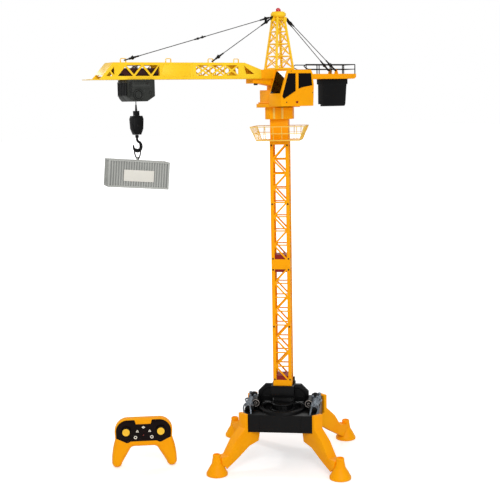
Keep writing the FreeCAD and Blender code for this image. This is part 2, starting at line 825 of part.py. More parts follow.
def tower_top_frame():
    """The tapering lattice above the turret, with a solid foot band and a capped top."""
    levels = [jib_root_top + 3 + k * (tower_top - jib_root_top - 9) / 4 for k in range(5)]
    outer = [V(s * tower_corner(z), t * tower_corner(z), z) for z in (jib_root_top, tower_top)
             for s, t in ((-1, -1), (1, -1), (1, 1), (-1, 1))]
    pieces = []
    for low, high in ((outer[k], outer[k + 4]) for k in range(4)):
        side = V(tower_leg if low.x < 0 else -tower_leg, 0, 0)
        deep = V(0, tower_leg if low.y < 0 else -tower_leg, 0)
        foot = Part.makePolygon([low, low + side, low + side + deep, low + deep, low])
        head = Part.makePolygon([high, high + side, high + side + deep, high + deep, high])
        pieces.append(Part.makeLoft([foot, head], True, True))
    rails = []
    for k, z in enumerate(levels):
        r = tower_corner(z) - 1.6
        rails.append(rod((-r, -r, z), (r, -r, z), 1.6))
        if k < 4:
            top = levels[k + 1]
            q = tower_corner(top) - 1.6
            rails.append(rod((-r, -r, z), (q, -q, top), 1.4))
            rails.append(rod((r, -r, z), (-q, -q, top), 1.4))
    lattice = [moved(piece, turn=90 * k) for k in range(4) for piece in rails]
    half = tower_half
    band = slab("z", rectangle(-half, half, -half, half), jib_root_top, jib_root_top + 5,
                [rectangle(-half + 5, half - 5, -half + 5, half - 5)])
    limits = block(-half, half, -half, half, jib_root_top, tower_top)
    crown = revolve([(0, tower_top - 2), (tower_top_half - 1, tower_top - 2), (cap_radius, tower_top + 3),
                     (cap_radius, tower_top + cap_height - 5), (cap_radius - 4, tower_top + cap_height),
                     (0, tower_top + cap_height)])
    lugs = [block(-lug_reach, -10, -lug_half, lug_half, tower_top - 12, tower_top + 1),
            block(10, lug_reach, -6, 6, tower_top - 12, tower_top + 1)]
    return fuse([fuse(pieces + lattice + [band]).common(limits), crown] + lugs)


def beacon():
    low = tower_top + cap_height
    dome = Part.makeSphere(beacon_radius, V(0, 0, low + beacon_stem))
    dome = dome.common(cyl(0, 0, low, beacon_radius, 2 * beacon_radius))
    stem = cyl(0, 0, low, beacon_radius, beacon_stem)
    return fuse([dome, stem])


# ---- jib ----
def jib_side_outline():
    return [(-turret_reach, jib_bottom), (-turret_reach, jib_root_top), (-jib_shoulder, jib_top),
            (-jib_nose_start, jib_top), (-jib_nose_end, jib_bottom + 4), (-jib_nose_end, jib_bottom)]


def x_bay(u0, u1, v0, v1, width):
    """The four triangles that an X-brace leaves open in a bay."""
    mu = (u0 + u1) / 2
    mv = (v0 + v1) / 2
    length = math.hypot(u1 - u0, v1 - v0)
    su = width / 2 * length / (v1 - v0)
    sv = width / 2 * length / (u1 - u0)
    return [[(u0 + su, v0), (u1 - su, v0), (mu, mv - sv)], [(u0 + su, v1), (mu, mv + sv), (u1 - su, v1)],
            [(u0, v0 + sv), (mu - su, mv), (u0, v1 - sv)], [(u1, v0 + sv), (u1, v1 - sv), (mu + su, mv)]]


def zigzag(u0, u1, v0, v1, count, width):
    """Alternating triangles between two chords, the first and last with an upright edge."""
    step = (u1 - u0) / count
    slope = math.hypot(step, v1 - v0)
    su = width / 2 * slope / (v1 - v0)
    holes = [[(u1, v1), (u1, v0), (u1 - step + su, v0)]]
    for k in range(1, count):
        apex = u1 - k * step
        up = k % 2 == 0
        base = v0 if up else v1
        peak = v1 if up else v0
        low = max(apex - step, u0) + su
        high = apex + step - su
        lift = width / 2 * slope / step
        holes.append([(low, base), (high, base), (apex, peak - lift if up else peak + lift)])
    return holes


def jib_holes():
    low = jib_bottom + 9
    high = jib_top - 7
    root = turret_reach + 23
    lattice_root = jib_shoulder + 19
    nose = jib_nose_end
    holes = [[(-root - 32.5, high - 1), (-root - 26, low + 4), (-root, low + 4)]]
    pitch = (jib_joint - 8 - lattice_root) / 3
    for k in range(3):
        right = -lattice_root - k * pitch
        holes += x_bay(right - pitch + 1.5, right - 1.5, low, high, 4.2)
    holes += zigzag(8 - jib_nose_start, -jib_joint - 98, low, high, 5, 5.0)
    holes += [[(15 - nose, low), (33 - nose, low), (26 - nose, low + 11)],
              [(38 - nose, low + 2), (38 - nose, high - 3), (29 - nose, low + 13)]]
    return holes


def jib_body():
    """The whole jib as one channel: two lattice sides, a roof, and two lips for the trolley."""
    side = jib_side_outline()
    walls = [slab("y", side, y, y + jib_wall, jib_holes()) for y in (-jib_half, jib_half - jib_wall)]
    full = slab("y", side, -jib_half, jib_half)
    roof_room = slab("y", inset_outline(side, jib_wall), -jib_half, jib_half)
    floor_room = block(-jib_nose_end, -turret_reach, -jib_half, jib_half, jib_bottom, jib_bottom + 12)
    end_room = block(-jib_shoulder + 30, -turret_reach, -jib_half, jib_half, jib_bottom, jib_root_top - 4)
    roof = full.cut(Part.Compound([roof_room, floor_room, end_room]))
    lips = [block(-jib_nose_end, -turret_reach, min(s * jib_lip, s * jib_half), max(s * jib_lip, s * jib_half),
                  jib_bottom, jib_bottom + jib_lip_thickness) for s in (-1, 1)]
    windows = [slab("z", p, jib_top - jib_wall - 1, jib_top + 1) for p in roof_holes()]
    return fuse(walls + [roof] + lips).cut(Part.Compound(windows))


def roof_holes():
    holes = []
    for left, right in ((10 - jib_nose_start, -jib_joint - 104), (8 - jib_joint, -jib_shoulder - 22)):
        count = 4
        step = (right - left) / count
        for k in range(count):
            holes += half_bays(left + k * step + 2, left + (k + 1) * step - 2, 6.5, 17, 3, k % 2 == 0)
            holes += half_bays(left + k * step + 2, left + (k + 1) * step - 2, -17, -6.5, 3, k % 2 == 1)
    return holes


def eyelet(place):
    """A U-shaped loop on the jib's top chord."""
    low = jib_top - 0.5
    half = eyelet_width / 2
    outer = [(-place - half, low), (-place + half, low), (-place + half, low + eyelet_height - 3),
             (-place + half - 3, low + eyelet_height), (-place - half + 3, low + eyelet_height),
             (-place - half, low + eyelet_height - 3)]
    inner = rectangle(-place - half + eyelet_wire, -place + half - eyelet_wire, low + 1,
                      low + eyelet_height - eyelet_wire)
    return slab("y", outer, -eyelet_half, eyelet_half, [inner])


def jib_parts():
    body = jib_body()
    split = -jib_joint
    reach = nose_plate_end + 10
    inner = body.common(block(split, 0, -100, 100, jib_bottom - 5, jib_top + 5))
    outer = body.common(block(-reach, split - slip_gap, -100, 100, jib_bottom - 5, jib_top + 5))
    tongue = [block(split - 14, split + 1, s * (jib_half - jib_wall) - (2 if s > 0 else 0),
                    s * (jib_half - jib_wall) + (0 if s > 0 else 2), jib_bottom + 8, jib_top - 8)
              for s in (-1, 1)]
    inner = fuse([inner] + tongue + [eyelet(p) for p in eyelet_places if p < jib_joint])
    plate = block(-nose_plate_end, -jib_nose_end + 2, -jib_half, jib_half, jib_bottom, jib_bottom + 1.6)
    left = -jib_joint - 96
    right = -jib_joint - 4
    label = slab("y", [(left, jib_bottom + 13), (left + 10, jib_bottom + 4), (right, jib_bottom + 4),
                       (right, jib_top - 4), (left + 10, jib_top - 4)], -jib_half, -jib_half + 0.6,
                 [[(left + 3, jib_bottom + 14), (left + 11, jib_bottom + 6), (right - 2, jib_bottom + 6),
                   (right - 2, jib_top - 6), (left + 11, jib_top - 6)]])
    outer = fuse([outer, plate] + [eyelet(p) for p in eyelet_places if p > jib_joint])
    return inner, outer.cut(Part.Compound([label, moved(label, (0, 2 * jib_half - 0.6, 0))]))


def rack_pitch_height():
    return jib_top - jib_wall - rack_height + 1.1


def travel_rack():
    """A toothed strip under the jib's roof that the trolley's pinion climbs along."""
    top = jib_top - jib_wall
    step = math.pi * gear_module
    left = trolley_place - rack_teeth_out * step
    right = trolley_place + rack_teeth_in * step
    pitch_z = rack_pitch_height()
    half = (step / 2 - tooth_backlash) / 2
    flank = math.tan(math.radians(20))
    points = [(left, top), (left, pitch_z + 1.1)]
    for k in range(rack_teeth_out + rack_teeth_in):
        middle = left + (k + 0.5) * step
        points += [(middle - half - flank * 1.1, pitch_z + 1.1), (middle - half + flank * 0.8, pitch_z - 0.8),
                   (middle + half - flank * 0.8, pitch_z - 0.8), (middle + half + flank * 1.1, pitch_z + 1.1)]
    points += [(right, pitch_z + 1.1), (right, top)]
    return slab("y", points, -rack_width / 2, rack_width / 2)


# ---- trolley ----
def travel_axis():
    return trolley_place, rack_pitch_height() - travel_pitch - mesh_slack


def wheel_axis(sign):
    return trolley_place + sign * (carriage_length / 2 - 9), jib_bottom + jib_lip_thickness + running_gap + wheel_radius


def trolley_carriage():
    """The dark carriage that runs inside the jib and carries the winch box below."""
    x0 = trolley_place - carriage_length / 2
    x1 = trolley_place + carriage_length / 2
    floor = jib_bottom + jib_lip_thickness + 2
    box = block(x0, x1, -carriage_half, carriage_half, floor, carriage_top)
    box = box.cut(block(x0 + 20, x1 - 20, -carriage_half + 2, carriage_half - 2, floor + 2, carriage_top - 2))
    neck = block(trolley_place - 26, trolley_place + 26, -jib_lip + 1, jib_lip - 1, trolley_top() - 3, floor + 2)
    tools = []
    for sign in (-1, 1):
        x, z = wheel_axis(sign)
        tools.append(cyl(x, -carriage_half - 1, z, axle_radius + shaft_gap, 2 * carriage_half + 2, Y_AXIS))
        for side in (-1, 1):
            y = side * carriage_half
            low = min(y, y - side * (wheel_width + 1))
            tools.append(block(x - wheel_radius - 1, x + wheel_radius + 1, low, low + wheel_width + 1,
                               floor - 1, z + wheel_radius + 1))
    x, z = travel_axis()
    tools.append(block(x - travel_pitch - 2, x + travel_pitch + 2, -6, 6, z - travel_pitch - 2, carriage_top + 1))
    tools.append(cyl(x, -13, z, axle_radius + shaft_gap, 26, Y_AXIS))
    bracket = [block(x - 4, x + 4, y, y + 5, floor + 2, carriage_top) for y in (-12, 7)]
    bore = cyl(hoist_line, 0, trolley_top() - 5, 3, 20)
    return cut(fuse([box, neck] + bracket), tools + [bore])


def trolley_top():
    return jib_bottom - running_gap


def wheelset(sign):
    x, z = wheel_axis(sign)
    axle = cyl(x, -carriage_half, z, axle_radius, 2 * carriage_half, Y_AXIS)
    wheels = [cyl(x, -carriage_half + 0.4, z, wheel_radius, wheel_width, Y_AXIS),
              cyl(x, carriage_half - 0.4 - wheel_width, z, wheel_radius, wheel_width, Y_AXIS)]
    return fuse([axle] + wheels)


def travel_pinion():
    """The driven pinion under the rack, with its shaft in the carriage's two brackets."""
    x, z = travel_axis()
    wheel = moved(gear(travel_teeth, rack_width), (0, 0, -rack_width / 2))
    wheel = moved(wheel, turn=90, axis=X_AXIS)
    shaft = cyl(0, -12, 0, axle_radius, 24, Y_AXIS)
    return moved(wheel.fuse(shaft), (x, 0, z))


def trolley_outline():
    x0 = trolley_place - trolley_length / 2
    x1 = trolley_place + trolley_length / 2
    low = trolley_top() - trolley_height
    return [(x0, trolley_top()), (x1, trolley_top()), (x1, low + trolley_chamfer),
            (x1 - 1.7 * trolley_chamfer, low), (x0 + trolley_chamfer, low), (x0, low + trolley_chamfer)]


def rounded_plan(inset, low, high):
    x0 = trolley_place - trolley_length / 2 + inset
    x1 = trolley_place + trolley_length / 2 - inset
    y = trolley_half - inset
    box = block(x0, x1, -y, y, low, high)
    edges = [e for e in box.Edges if abs(e.tangentAt(e.FirstParameter).z) > 0.9 and e.Vertexes[0].X < x0 + 1]
    return box.makeFillet(11.0 - inset, edges)


def winch_box():
    low = trolley_top() - trolley_height - 1
    high = trolley_top() + 1
    outer = slab("y", trolley_outline(), -trolley_half, trolley_half).common(rounded_plan(0, low, high))
    room = inset_outline(trolley_outline(), 2.2)
    inner = slab("y", room, -trolley_half, trolley_half).common(rounded_plan(2.2, low, high))
    return outer, inner


def drum_axis():
    return hoist_line - drum_core - rope_radius - shaft_gap, trolley_top() - 37.5


def trolley_shells():
    """Front and rear halves of the winch box, hollow, with the drum's bearing in each."""
    outer, inner = winch_box()
    x, z = drum_axis()
    boss = cyl(x, -trolley_half - 1.4, z, 17, 1.4, Y_AXIS).cut(cyl(x, -trolley_half - 1.4, z, 14.6, 0.8, Y_AXIS))
    dial = cyl(x, -trolley_half - 1.6, z, 11.5, 1.0, Y_AXIS)
    bearing = cyl(x, -trolley_half + 1, z, 5, 6, Y_AXIS)
    shell = outer.cut(inner)
    band = block(trolley_place - 34, trolley_place + 26, -trolley_half - 1, -trolley_half + 1.2,
                 trolley_top() - 17, trolley_top() - 4)
    pocket = block(trolley_place + 16, trolley_place + 30, -trolley_half - 1, -trolley_half + 1.4,
                   trolley_top() - 46, trolley_top() - 27)
    ribs = [block(trolley_place + 20 + 4 * k, trolley_place + 21.6 + 4 * k, -trolley_half, -trolley_half + 1.6,
                  trolley_top() - 46, trolley_top() - 27) for k in range(3)]
    rope_hole = cyl(hoist_line, 0, trolley_top() - trolley_height - 2, rope_hole_radius, 8)
    neck_hole = block(trolley_place - 26 - slip_gap, trolley_place + 26 + slip_gap, -jib_lip + 1 - slip_gap,
                      jib_lip - 1 + slip_gap, trolley_top() - 4, trolley_top() + 1)
    front_tools = [band, pocket, rope_hole, neck_hole, cyl(x, -trolley_half + 2.5, z, 3 + shaft_gap, 6, Y_AXIS)]
    low = trolley_top() - 2 * trolley_height
    sides = trolley_place - trolley_length, trolley_place + trolley_length
    front = shell.common(block(*sides, -2 * trolley_half, 0, low, jib_top))
    front = cut(front, front_tools[:2])
    front = cut(fuse([front, boss, dial, bearing] + ribs), front_tools[2:])
    rear = shell.common(block(*sides, slip_gap, 2 * trolley_half, low, jib_top))
    return front, cut(rear, [rope_hole, neck_hole])


def hoist_drum():
    """The winch drum with its two flanges, a turn-by-turn wound core and a stub at each end."""
    x, z = drum_axis()
    start = -trolley_half + 7.4
    core = cyl(x, start, z, drum_core, drum_length, Y_AXIS)
    flanges = [cyl(x, y, z, drum_flange, 1.6, Y_AXIS) for y in (start, start + drum_length - 1.6)]
    stub = cyl(x, -trolley_half + 3, z, 3, 5, Y_AXIS)
    socket = cyl(x, start + drum_length - 8, z, 1.5 + shaft_gap, 9, Y_AXIS)
    return fuse([core, stub] + flanges).cut(socket)


def trolley_motors():
    """The hoist motor behind the drum and the travel motor in the carriage."""
    x, z = drum_axis()
    start = -trolley_half + 7.4 + drum_length + running_gap
    length = trolley_half - 2.2 - start
    hoist = fuse([cyl(x, start + 1.5, z, motor_radius, length - 1.5, Y_AXIS), cyl(x, start, z, 3.5, 2, Y_AXIS),
                  cyl(x, start - 7, z, 1.5, 8, Y_AXIS)])
    floor = jib_bottom + jib_lip_thickness + 4
    travel = cyl(trolley_place - 33, 0, floor + 9, 9, 22, X_AXIS)
    return [hoist, travel]


# ---- hook block and load ----
def hoist_rope():
    x, z = drum_axis()
    return cyl(hoist_line, 0, block_top - 6, rope_radius, z - block_top + 6)


def hook_block():
    """The black sheave block: the rope's sleeve, a lug, a tapered body and the swivel's bore."""
    half = block_width / 2
    x = hoist_line
    middle = (block_shoulder + block_bottom) / 2
    body = [(x - half + 3, block_shoulder + 2), (x + half - 3, block_shoulder + 2), (x + half, block_shoulder - 6),
            (x + half - 1.5, block_bottom + 15), (x + half - 8, block_bottom), (x - half + 8, block_bottom),
            (x - half + 1.5, block_bottom + 15), (x - half, block_shoulder - 6)]
    plate = slab("y", body, -block_depth / 2, block_depth / 2)
    lug = block(x - 7, x + 7, -4.5, 4.5, block_shoulder, block_top)
    sleeve = moved(revolve([(0, block_top - 1), (2.8, block_top - 1), (2.8, block_top + 3),
                            (1.9, block_top + sleeve_length), (0, block_top + sleeve_length)]), (x, 0, 0))
    cheek = [(x + (u - x) * 0.78, middle + (v - middle) * 0.78) for u, v in body]
    cheeks = [slab("y", cheek, y, y + 1.2) for y in (-block_depth / 2 - 1.2, block_depth / 2)]
    eye = cyl(x, 0, block_top - 7, rope_radius + 0.3, sleeve_length + 8)
    socket = cyl(x, 0, block_bottom, shank_radius + shaft_gap, 12)
    return fuse([plate, lug, sleeve] + cheeks).cut(Part.Compound([eye, socket]))


def hook():
    """The swivelling hook: a neck that bends back over the bowl, with its horn towards the jib's tip."""
    x = hoist_line
    depth = hook_depth / 2
    ring = cyl(x, -depth, hook_middle, hook_outer, hook_depth, Y_AXIS)
    ring = ring.cut(cyl(x, -depth, hook_middle, hook_inner, hook_depth, Y_AXIS))
    mouth = slab("y", [(x, hook_middle), (x - 30, hook_middle + 1), (x - 30, hook_middle + 30), (x, hook_middle + 30)],
                 -depth, depth)
    horn = slab("y", [(x - hook_outer, hook_middle), (x - hook_inner, hook_middle),
                      (x - hook_inner - 0.8, hook_middle + 4.5), (x - 10.6, hook_middle + 6.2),
                      (x - hook_outer + 0.3, hook_middle + 4)], -depth, depth)
    back = slab("y", [(x - hook_neck, hook_middle + 14), (x - hook_neck, block_bottom - 4),
                      (x + hook_neck, block_bottom - 4), (x + hook_neck + 0.8, hook_middle + 15.5),
                      (x + 10.2, hook_middle + 14.6), (x + 11.3, hook_middle + 11), (x + 8.5, hook_middle + 4.5),
                      (x + 2.5, hook_middle + 8.5), (x, hook_middle + 12.5)], -depth, depth)
    swivel = cyl(x, 0, block_bottom - 8, 4.5, 8 - running_gap)
    shank = cyl(x, 0, block_bottom - 5, shank_radius, 16)
    return fuse([ring.cut(mouth), horn, back, swivel, shank])


load_pivot = (hoist_line, 0.0, hook_middle - hook_inner + running_gap + link_wire)


def in_load(shape):
    """Turn and tilt a piece drawn square to the jib into the hanging load's place."""
    turned = moved(shape, turn=container_tilt, axis=Y_AXIS, about=load_pivot)
    return moved(turned, turn=container_turn, about=load_pivot)


# the right half of the link, from the notch that hangs on the hook to the foot in the lug
link_half = [(0.0, 0.0), (2.6, 1.0), (5.2, 1.9), (7.6, 1.0), (8.6, -2.0), (8.5, -7.0), (7.6, -11.5),
             (5.7, -17.4), (3.7, -21.3), (2.4, -23.2)]


def in_link(shape):
    """Turn a piece drawn along +X from the pivot into the link's plane."""
    return moved(shape, load_pivot, turn=link_turn)


def load_link():
    """A heart of bent wire, its notch on the hook and its foot through the container's lug."""
    right = [V(u, 0, v) for u, v in link_half]
    left = [V(-u, 0, v) for u, v in reversed(link_half[1:])]
    corners = right + left
    wires = [rod(corners[k], corners[(k + 1) % len(corners)], link_wire) for k in range(len(corners))]
    knees = [Part.makeSphere(link_wire, c) for c in corners]
    return in_link(fuse(wires + knees))


def load_lug():
    """The upright eye on the container's roof, square to the link."""
    top = -lug_drop + lug_eye + 2.3
    plate = slab("x", [(-6.5, -roof_drop - 2), (6.5, -roof_drop - 2), (6, -roof_drop + 1), (3.4, top),
                       (-3.4, top), (-6, -roof_drop + 1)], -1.5, 1.5)
    eye = cyl(-3, 0, -lug_drop, lug_eye, 6, X_AXIS)
    return in_link(plate), in_link(eye)


def container():
    """The ribbed freight container, hollow, with a lug on its roof."""
    x, y, z = load_pivot
    top = z - roof_drop
    low = top - container_height
    lean = -(roof_drop + container_height / 2) * math.tan(math.radians(container_tilt))
    x0 = x - lean - container_length / 2 + container_shift
    x1 = x0 + container_length
    half = container_width / 2
    core = half - container_rib
    body = block(x0 + container_rib, x1 - container_rib, -core, core, low + 2, top)
    room = block(x0 + 4, x1 - 4, -core + 2, core - 2, low + 4, top - 2.5)
    rails = [block(x0, x1, -half, half, low, low + 5), block(x0, x1, -half, half, top - 4, top)]
    posts = [block(u, u + 5, s * half - (5 if s > 0 else 0), s * half + (0 if s > 0 else 5), low, top)
             for u in (x0, x1 - 5) for s in (-1, 1)]
    pitch = (container_length - 14) / container_ribs
    ribs = []
    for k in range(container_ribs):
        u = x0 + 7 + (k + 0.25) * pitch
        ribs.append(block(u, u + pitch / 2, -half + 0.3, half - 0.3, low + 4, top - 3))
    pad = block(x - 10, x + 10, -12, 12, top, top + 1)
    label = block((x0 + x1) / 2 - 39, (x0 + x1) / 2 + 39, -half, -half + 0.6, low + 17, low + 46)
    box = in_load(fuse([body] + rails + posts + ribs + [pad, label]).cut(room))
    plate, eye = load_lug()
    return box.fuse(plate).cut(eye)


# ---- counter-jib ----
def counter_deck():
    """The rear deck, an open tray with a stiff rim, and the lugs of the rear pendants."""
    tray = slab("y", [(turret_reach, deck_top), (turret_reach, deck_top - deck_height),
                      (deck_end - 6, deck_top - deck_height), (deck_end, deck_top - deck_height + 5),
                      (deck_end, deck_top)], -deck_half, deck_half)
    room = block(turret_reach + 3, deck_end - 8, -deck_half + 3, deck_half - 3, deck_top - deck_height - 1,
                 deck_top - 2.5)
    slots = [block(turret_reach + 12 + 11 * k, turret_reach + 18 + 11 * k, -12, 12, deck_top - 3, deck_top + 1)
             for k in range(4)]
    x, y = deck_lug
    lugs = [slab("y", [(x - 6, deck_top), (x + 6, deck_top), (x + 2, deck_top + 13), (x - 2, deck_top + 13)],
                 s * y - 2, s * y + 2) for s in (-1, 1)]
    eyes = [cyl(x, s * y - 3, deck_top + 9, 1.6, 6, Y_AXIS) for s in (-1, 1)]
    seat = block(weight_left, weight_right, -weight_half, weight_half, deck_top - deck_height, deck_top - 2.5)
    rim = fuse([tray.cut(room)] + lugs)
    cross = [block(weight_left - 3, weight_left, -deck_half + 3, deck_half - 3, deck_top - deck_height, deck_top - 2.5),
             block(weight_right, weight_right + 3, -deck_half + 3, deck_half - 3, deck_top - deck_height, deck_top - 2.5)]
    return cut(fuse([rim] + cross), slots + eyes + [seat])


def hand_rails():
    """Black round-bar handrails along both sides and across the end of the deck."""
    top = deck_top + hand_rail
    middle = deck_top + hand_rail * 0.5
    y = deck_half - 2
    start = turret_reach - 2
    end = deck_end - 3
    runs = []
    for s in (-1, 1):
        runs += [rod((start, s * y, top), (end, s * y, top), 1.3), rod((start + 8, s * y, middle), (end, s * y, middle), 1.1)]
        runs += [rod((start, s * y, top), (start - 7, s * y, top - 5), 1.3),
                 rod((start - 7, s * y, top - 5), (start - 2, s * y, top - 9), 1.3),
                 rod((start - 2, s * y, top - 9), (start + 8, s * y, middle), 1.3)]
        for x in rail_posts + (end,):
            runs.append(rod((x, s * y, deck_top), (x, s * y, top), 1.5))
    runs += [rod((end, -y, top), (end, y, top), 1.3), rod((end, -y, middle), (end, y, middle), 1.1)]
    knees = [Part.makeSphere(1.3, V(u, s * y, v)) for s in (-1, 1)
             for u, v in ((start, top), (start - 7, top - 5), (start - 2, top - 9), (end, top))]
    return fuse(runs + knees)


def counterweight():
    """The black ballast slab hanging through the deck, with a wider flange under it."""
    low = weight_bottom
    flange = deck_top - deck_height
    side = [(weight_left + 3, flange - 14), (weight_left + 3, low + 6), (weight_left + 11, low + 6),
            (weight_left + 11, low), (weight_right - 11, low), (weight_right - 7, low + 5),
            (weight_right - 3, flange - 22), (weight_right - 2, flange - 14)]
    body = slab("y", side, -weight_half, weight_half)
    head = block(weight_left, weight_right, -weight_half - 1.5, weight_half + 1.5, flange - 15, flange)
    tenon = block(weight_left + slip_gap, weight_right - slip_gap, -weight_half + slip_gap,
                  weight_half - slip_gap, flange, deck_top - 2.5 - slip_gap)
    return fuse([body, head, tenon])


def pendant_ends():
    """Start, end and fork half-widths of each line: two to the jib, two to the deck's lugs."""
    lines = []
    for place, drop in ((eyelet_places[0], 1.5), (eyelet_places[2], 6.5)):
        foot = (-place + eyelet_width / 2 + line_setback, 0, jib_top + eyelet_height * 0.7)
        lines.append(((-lug_reach - line_setback, 0, tower_top - drop), foot, lug_half, eyelet_half))
    for s in (-1, 1):
        lines.append(((lug_reach + 1.5, s * 3.4, tower_top - 4),
                      (deck_lug[0] - 9.4, s * deck_lug[1], deck_top + 15), None, 2.6))
    return lines


def pendant_lines():
    return [rod(start, end, pendant_radius) for start, end, head, foot in pendant_ends()]


def fork(point, direction, half):
    """Two prongs across a lug or an eyelet, joined by a cross pin at the line's end."""
    reach = half + running_gap + fork_wire
    side = Y_AXIS * reach
    overhang = 1.5 * fork_wire
    pin = Part.makeCylinder(1.2 * fork_wire, 2 * (reach + overhang), point - side - Y_AXIS * overhang, Y_AXIS)
    prongs = [Part.makeCylinder(fork_wire, fork_length, point + side * s, direction) for s in (-1, 1)]
    return [pin] + prongs


def pendant_clips():
    """Black snap hooks, sleeves and the mid-line link on the pendant lines."""
    clips = []
    for number, (start, end, head, foot) in enumerate(pendant_ends()):
        a = V(*start)
        b = V(*end)
        length = (b - a).Length
        along = (b - a).normalize()
        bore = Part.makeCylinder(pendant_radius, length, a, along)
        cap = along * clip_cap
        lower = [Part.makeCylinder(clip_radius, clip_length + clip_cap, b - along * clip_length, along),
                 Part.makeCylinder(clip_radius * 1.5, 3, b - along * clip_length * 0.6, along)]
        lower += fork(b + cap * 0.5, along, foot)
        if head:
            upper = [Part.makeCylinder(clip_radius, clip_length + clip_cap, a - cap, along)]
            upper += fork(a - cap * 0.5, along * -1, head)
        else:
            upper = [Part.makeCylinder(clip_radius, 2.2 * clip_length, a, along)]
        groups = [upper, lower]
        if number == 0:
            link = a + (b - a) * 0.47
            groups.append([Part.makeCylinder(clip_radius, 36, link, along),
                           Part.makeCylinder(clip_radius * 1.5, 4, link + along * 9, along),
                           Part.makeCylinder(clip_radius * 1.5, 4, link + along * 23, along)])
        clips += [fuse(group).cut(bore) for group in groups]
    return clips


# ---- handset ----
def in_handset(shape):
    """Stand a handset piece, drawn facing -Y about its own middle, on the floor by the crane."""
    return moved(moved(shape, turn=handset_turn), (handset_place[0], handset_place[1], 0))


def handset_outline(inset=0.0):
    """The gamepad's outline as one closed wire: belly, two round grips and a rounded top."""
    belly = (36, 60)
    inner = (grip_x - 0.85 * grip_radius, 13)
    outer = (grip_x + 0.9 * grip_radius, 14)
    waist = (80.5, 84)
    side = (81.5, 104)
    shoulder = (73.5, 130)
    crown = (47, handset_top)
    arcs = []

    def at(x, z):
        return V(x, -handset_half, z)

    def line(a, b):
        return Part.LineSegment(at(*a), at(*b)).toShape()

    def arc(a, b, c):
        return Part.Arc(at(*a), at(*b), at(*c)).toShape()

    for s in (1, -1):
        def side_of(point):
            return s * point[0], point[1]
        arcs += [line(side_of(belly), side_of(inner)),
                 arc(side_of(inner), (s * grip_x, 0), side_of(outer)),
                 arc(side_of(outer), (s * (outer[0] - 3), 50), side_of(waist)),
                 line(side_of(waist), side_of(side)),
                 arc(side_of(side), side_of(shoulder), side_of(crown))]
    arcs += [line((-belly[0], belly[1]), belly), line((-crown[0], crown[1]), crown)]
    wire = Part.Wire(Part.__sortEdges__(arcs))
    if inset:
        wire = Part.Face(wire).makeOffset2D(-inset).OuterWire
    return wire


def handset_solid(inset, low, high):
    face = Part.Face(handset_outline(inset))
    solid = face.extrude(V(0, high - low, 0))
    solid.translate(V(0, low + handset_half, 0))
    return solid


def fascia_plan(low, high, extra=0.0):
    """The black faceplate: the outline less an even rim, cut round the top tab and above the grips."""
    right = [(fascia_tab, fascia_notch), (fascia_tab + 6, handset_top + 6), (100, handset_top + 6),
             (100, fascia_foot + 13), (75, fascia_foot + 13), (stick_x, fascia_foot),
             (stick_x - 5, fascia_foot), (stick_x - 12, fascia_foot + 4)]
    points = right + [(-x, z) for x, z in reversed(right)]
    region = slab("y", inset_outline(points, -extra) if extra else points, low, high)
    return region.common(handset_solid(fascia_rim - extra, low, high))


button_places = {
    "button_diamond": (0.0, 119.0), "button_triangle_left": (-17.3, 107.5),
    "button_triangle_right": (17.3, 107.5), "button_round_left": (-23.0, 90.0),
    "button_round_right": (23.0, 90.0)}
stick_places = {"left_stick": (-stick_x, stick_z), "right_stick": (stick_x, stick_z)}


def button_outline(name, extra=0.0):
    if "triangle" in name:
        r = 5.6 + 2 * extra
        return [(r * math.cos(math.radians(90 + 120 * k)), r * math.sin(math.radians(90 + 120 * k)))
                for k in range(3)]
    if "diamond" in name:
        w, h = 6.0 + extra * 1.4, 4.2 + extra * 1.4
        return [(-w, 0), (0, -h), (w, 0), (0, h)]
    r = 5.0 + extra
    return [(r * math.cos(math.radians(15 * k)), r * math.sin(math.radians(15 * k))) for k in range(24)]


def button_prism(name, low, high, extra=0.0):
    x, z = button_places[name]
    return moved(slab("y", button_outline(name, extra), low, high), (x, 0, z))


def front_face():
    return -handset_half


def inner_face():
    return -handset_half + fascia_depth + handset_wall


def handset_openings(low, high):
    holes = [button_prism(name, low, high, running_gap) for name in button_places]
    wells = [cyl(x, low, z, stick_well, high - low, Y_AXIS) for x, z in stick_places.values()]
    return holes + wells + [cyl(0, low, lamp_height, lamp_radius, high - low, Y_AXIS)]


def handset_front():
    shell = handset_solid(0, -handset_half, 0)
    room = handset_solid(handset_wall, inner_face(), 0)
    recess = fascia_plan(front_face() - 1, front_face() + fascia_depth, slip_gap)
    return in_handset(cut(shell.cut(room), [recess] + handset_openings(-handset_half - 1, 0)))


def handset_back():
    """The rear half, with a pillar under each stick and one behind each button."""
    shell = handset_solid(0, 0, handset_half)
    room = handset_solid(handset_wall, 0, handset_half - handset_wall)
    low = stick_pivot + stick_ball + running_gap
    cups = [cyl(x, low, z, 5, handset_half - handset_wall - low, Y_AXIS) for x, z in stick_places.values()]
    shelf = inner_face() + 3.4 + button_travel
    rests = [cyl(x, shelf, z, 2.0, handset_half - handset_wall - shelf, Y_AXIS)
             for x, z in button_places.values()]
    return in_handset(fuse([shell.cut(room)] + cups + rests))


def handset_fascia():
    plate = fascia_plan(front_face() - 0.5, front_face() + fascia_depth)
    return in_handset(cut(plate, handset_openings(-handset_half - 2, 0)))


def thumb_stick(name):
    x, z = stick_places[name]
    cap = fuse([cyl(x, -handset_half - 11, z, stick_radius, 3.4, Y_AXIS),
                cyl(x, -handset_half - 11.8, z, stick_radius - 2.4, 1, Y_AXIS)])
    stem = cyl(x, -handset_half - 9, z, 3.6, handset_half + 9 + stick_pivot, Y_AXIS)
    ball = Part.makeSphere(stick_ball, V(x, stick_pivot, z))
    return in_handset(fuse([cap, stem, ball]))


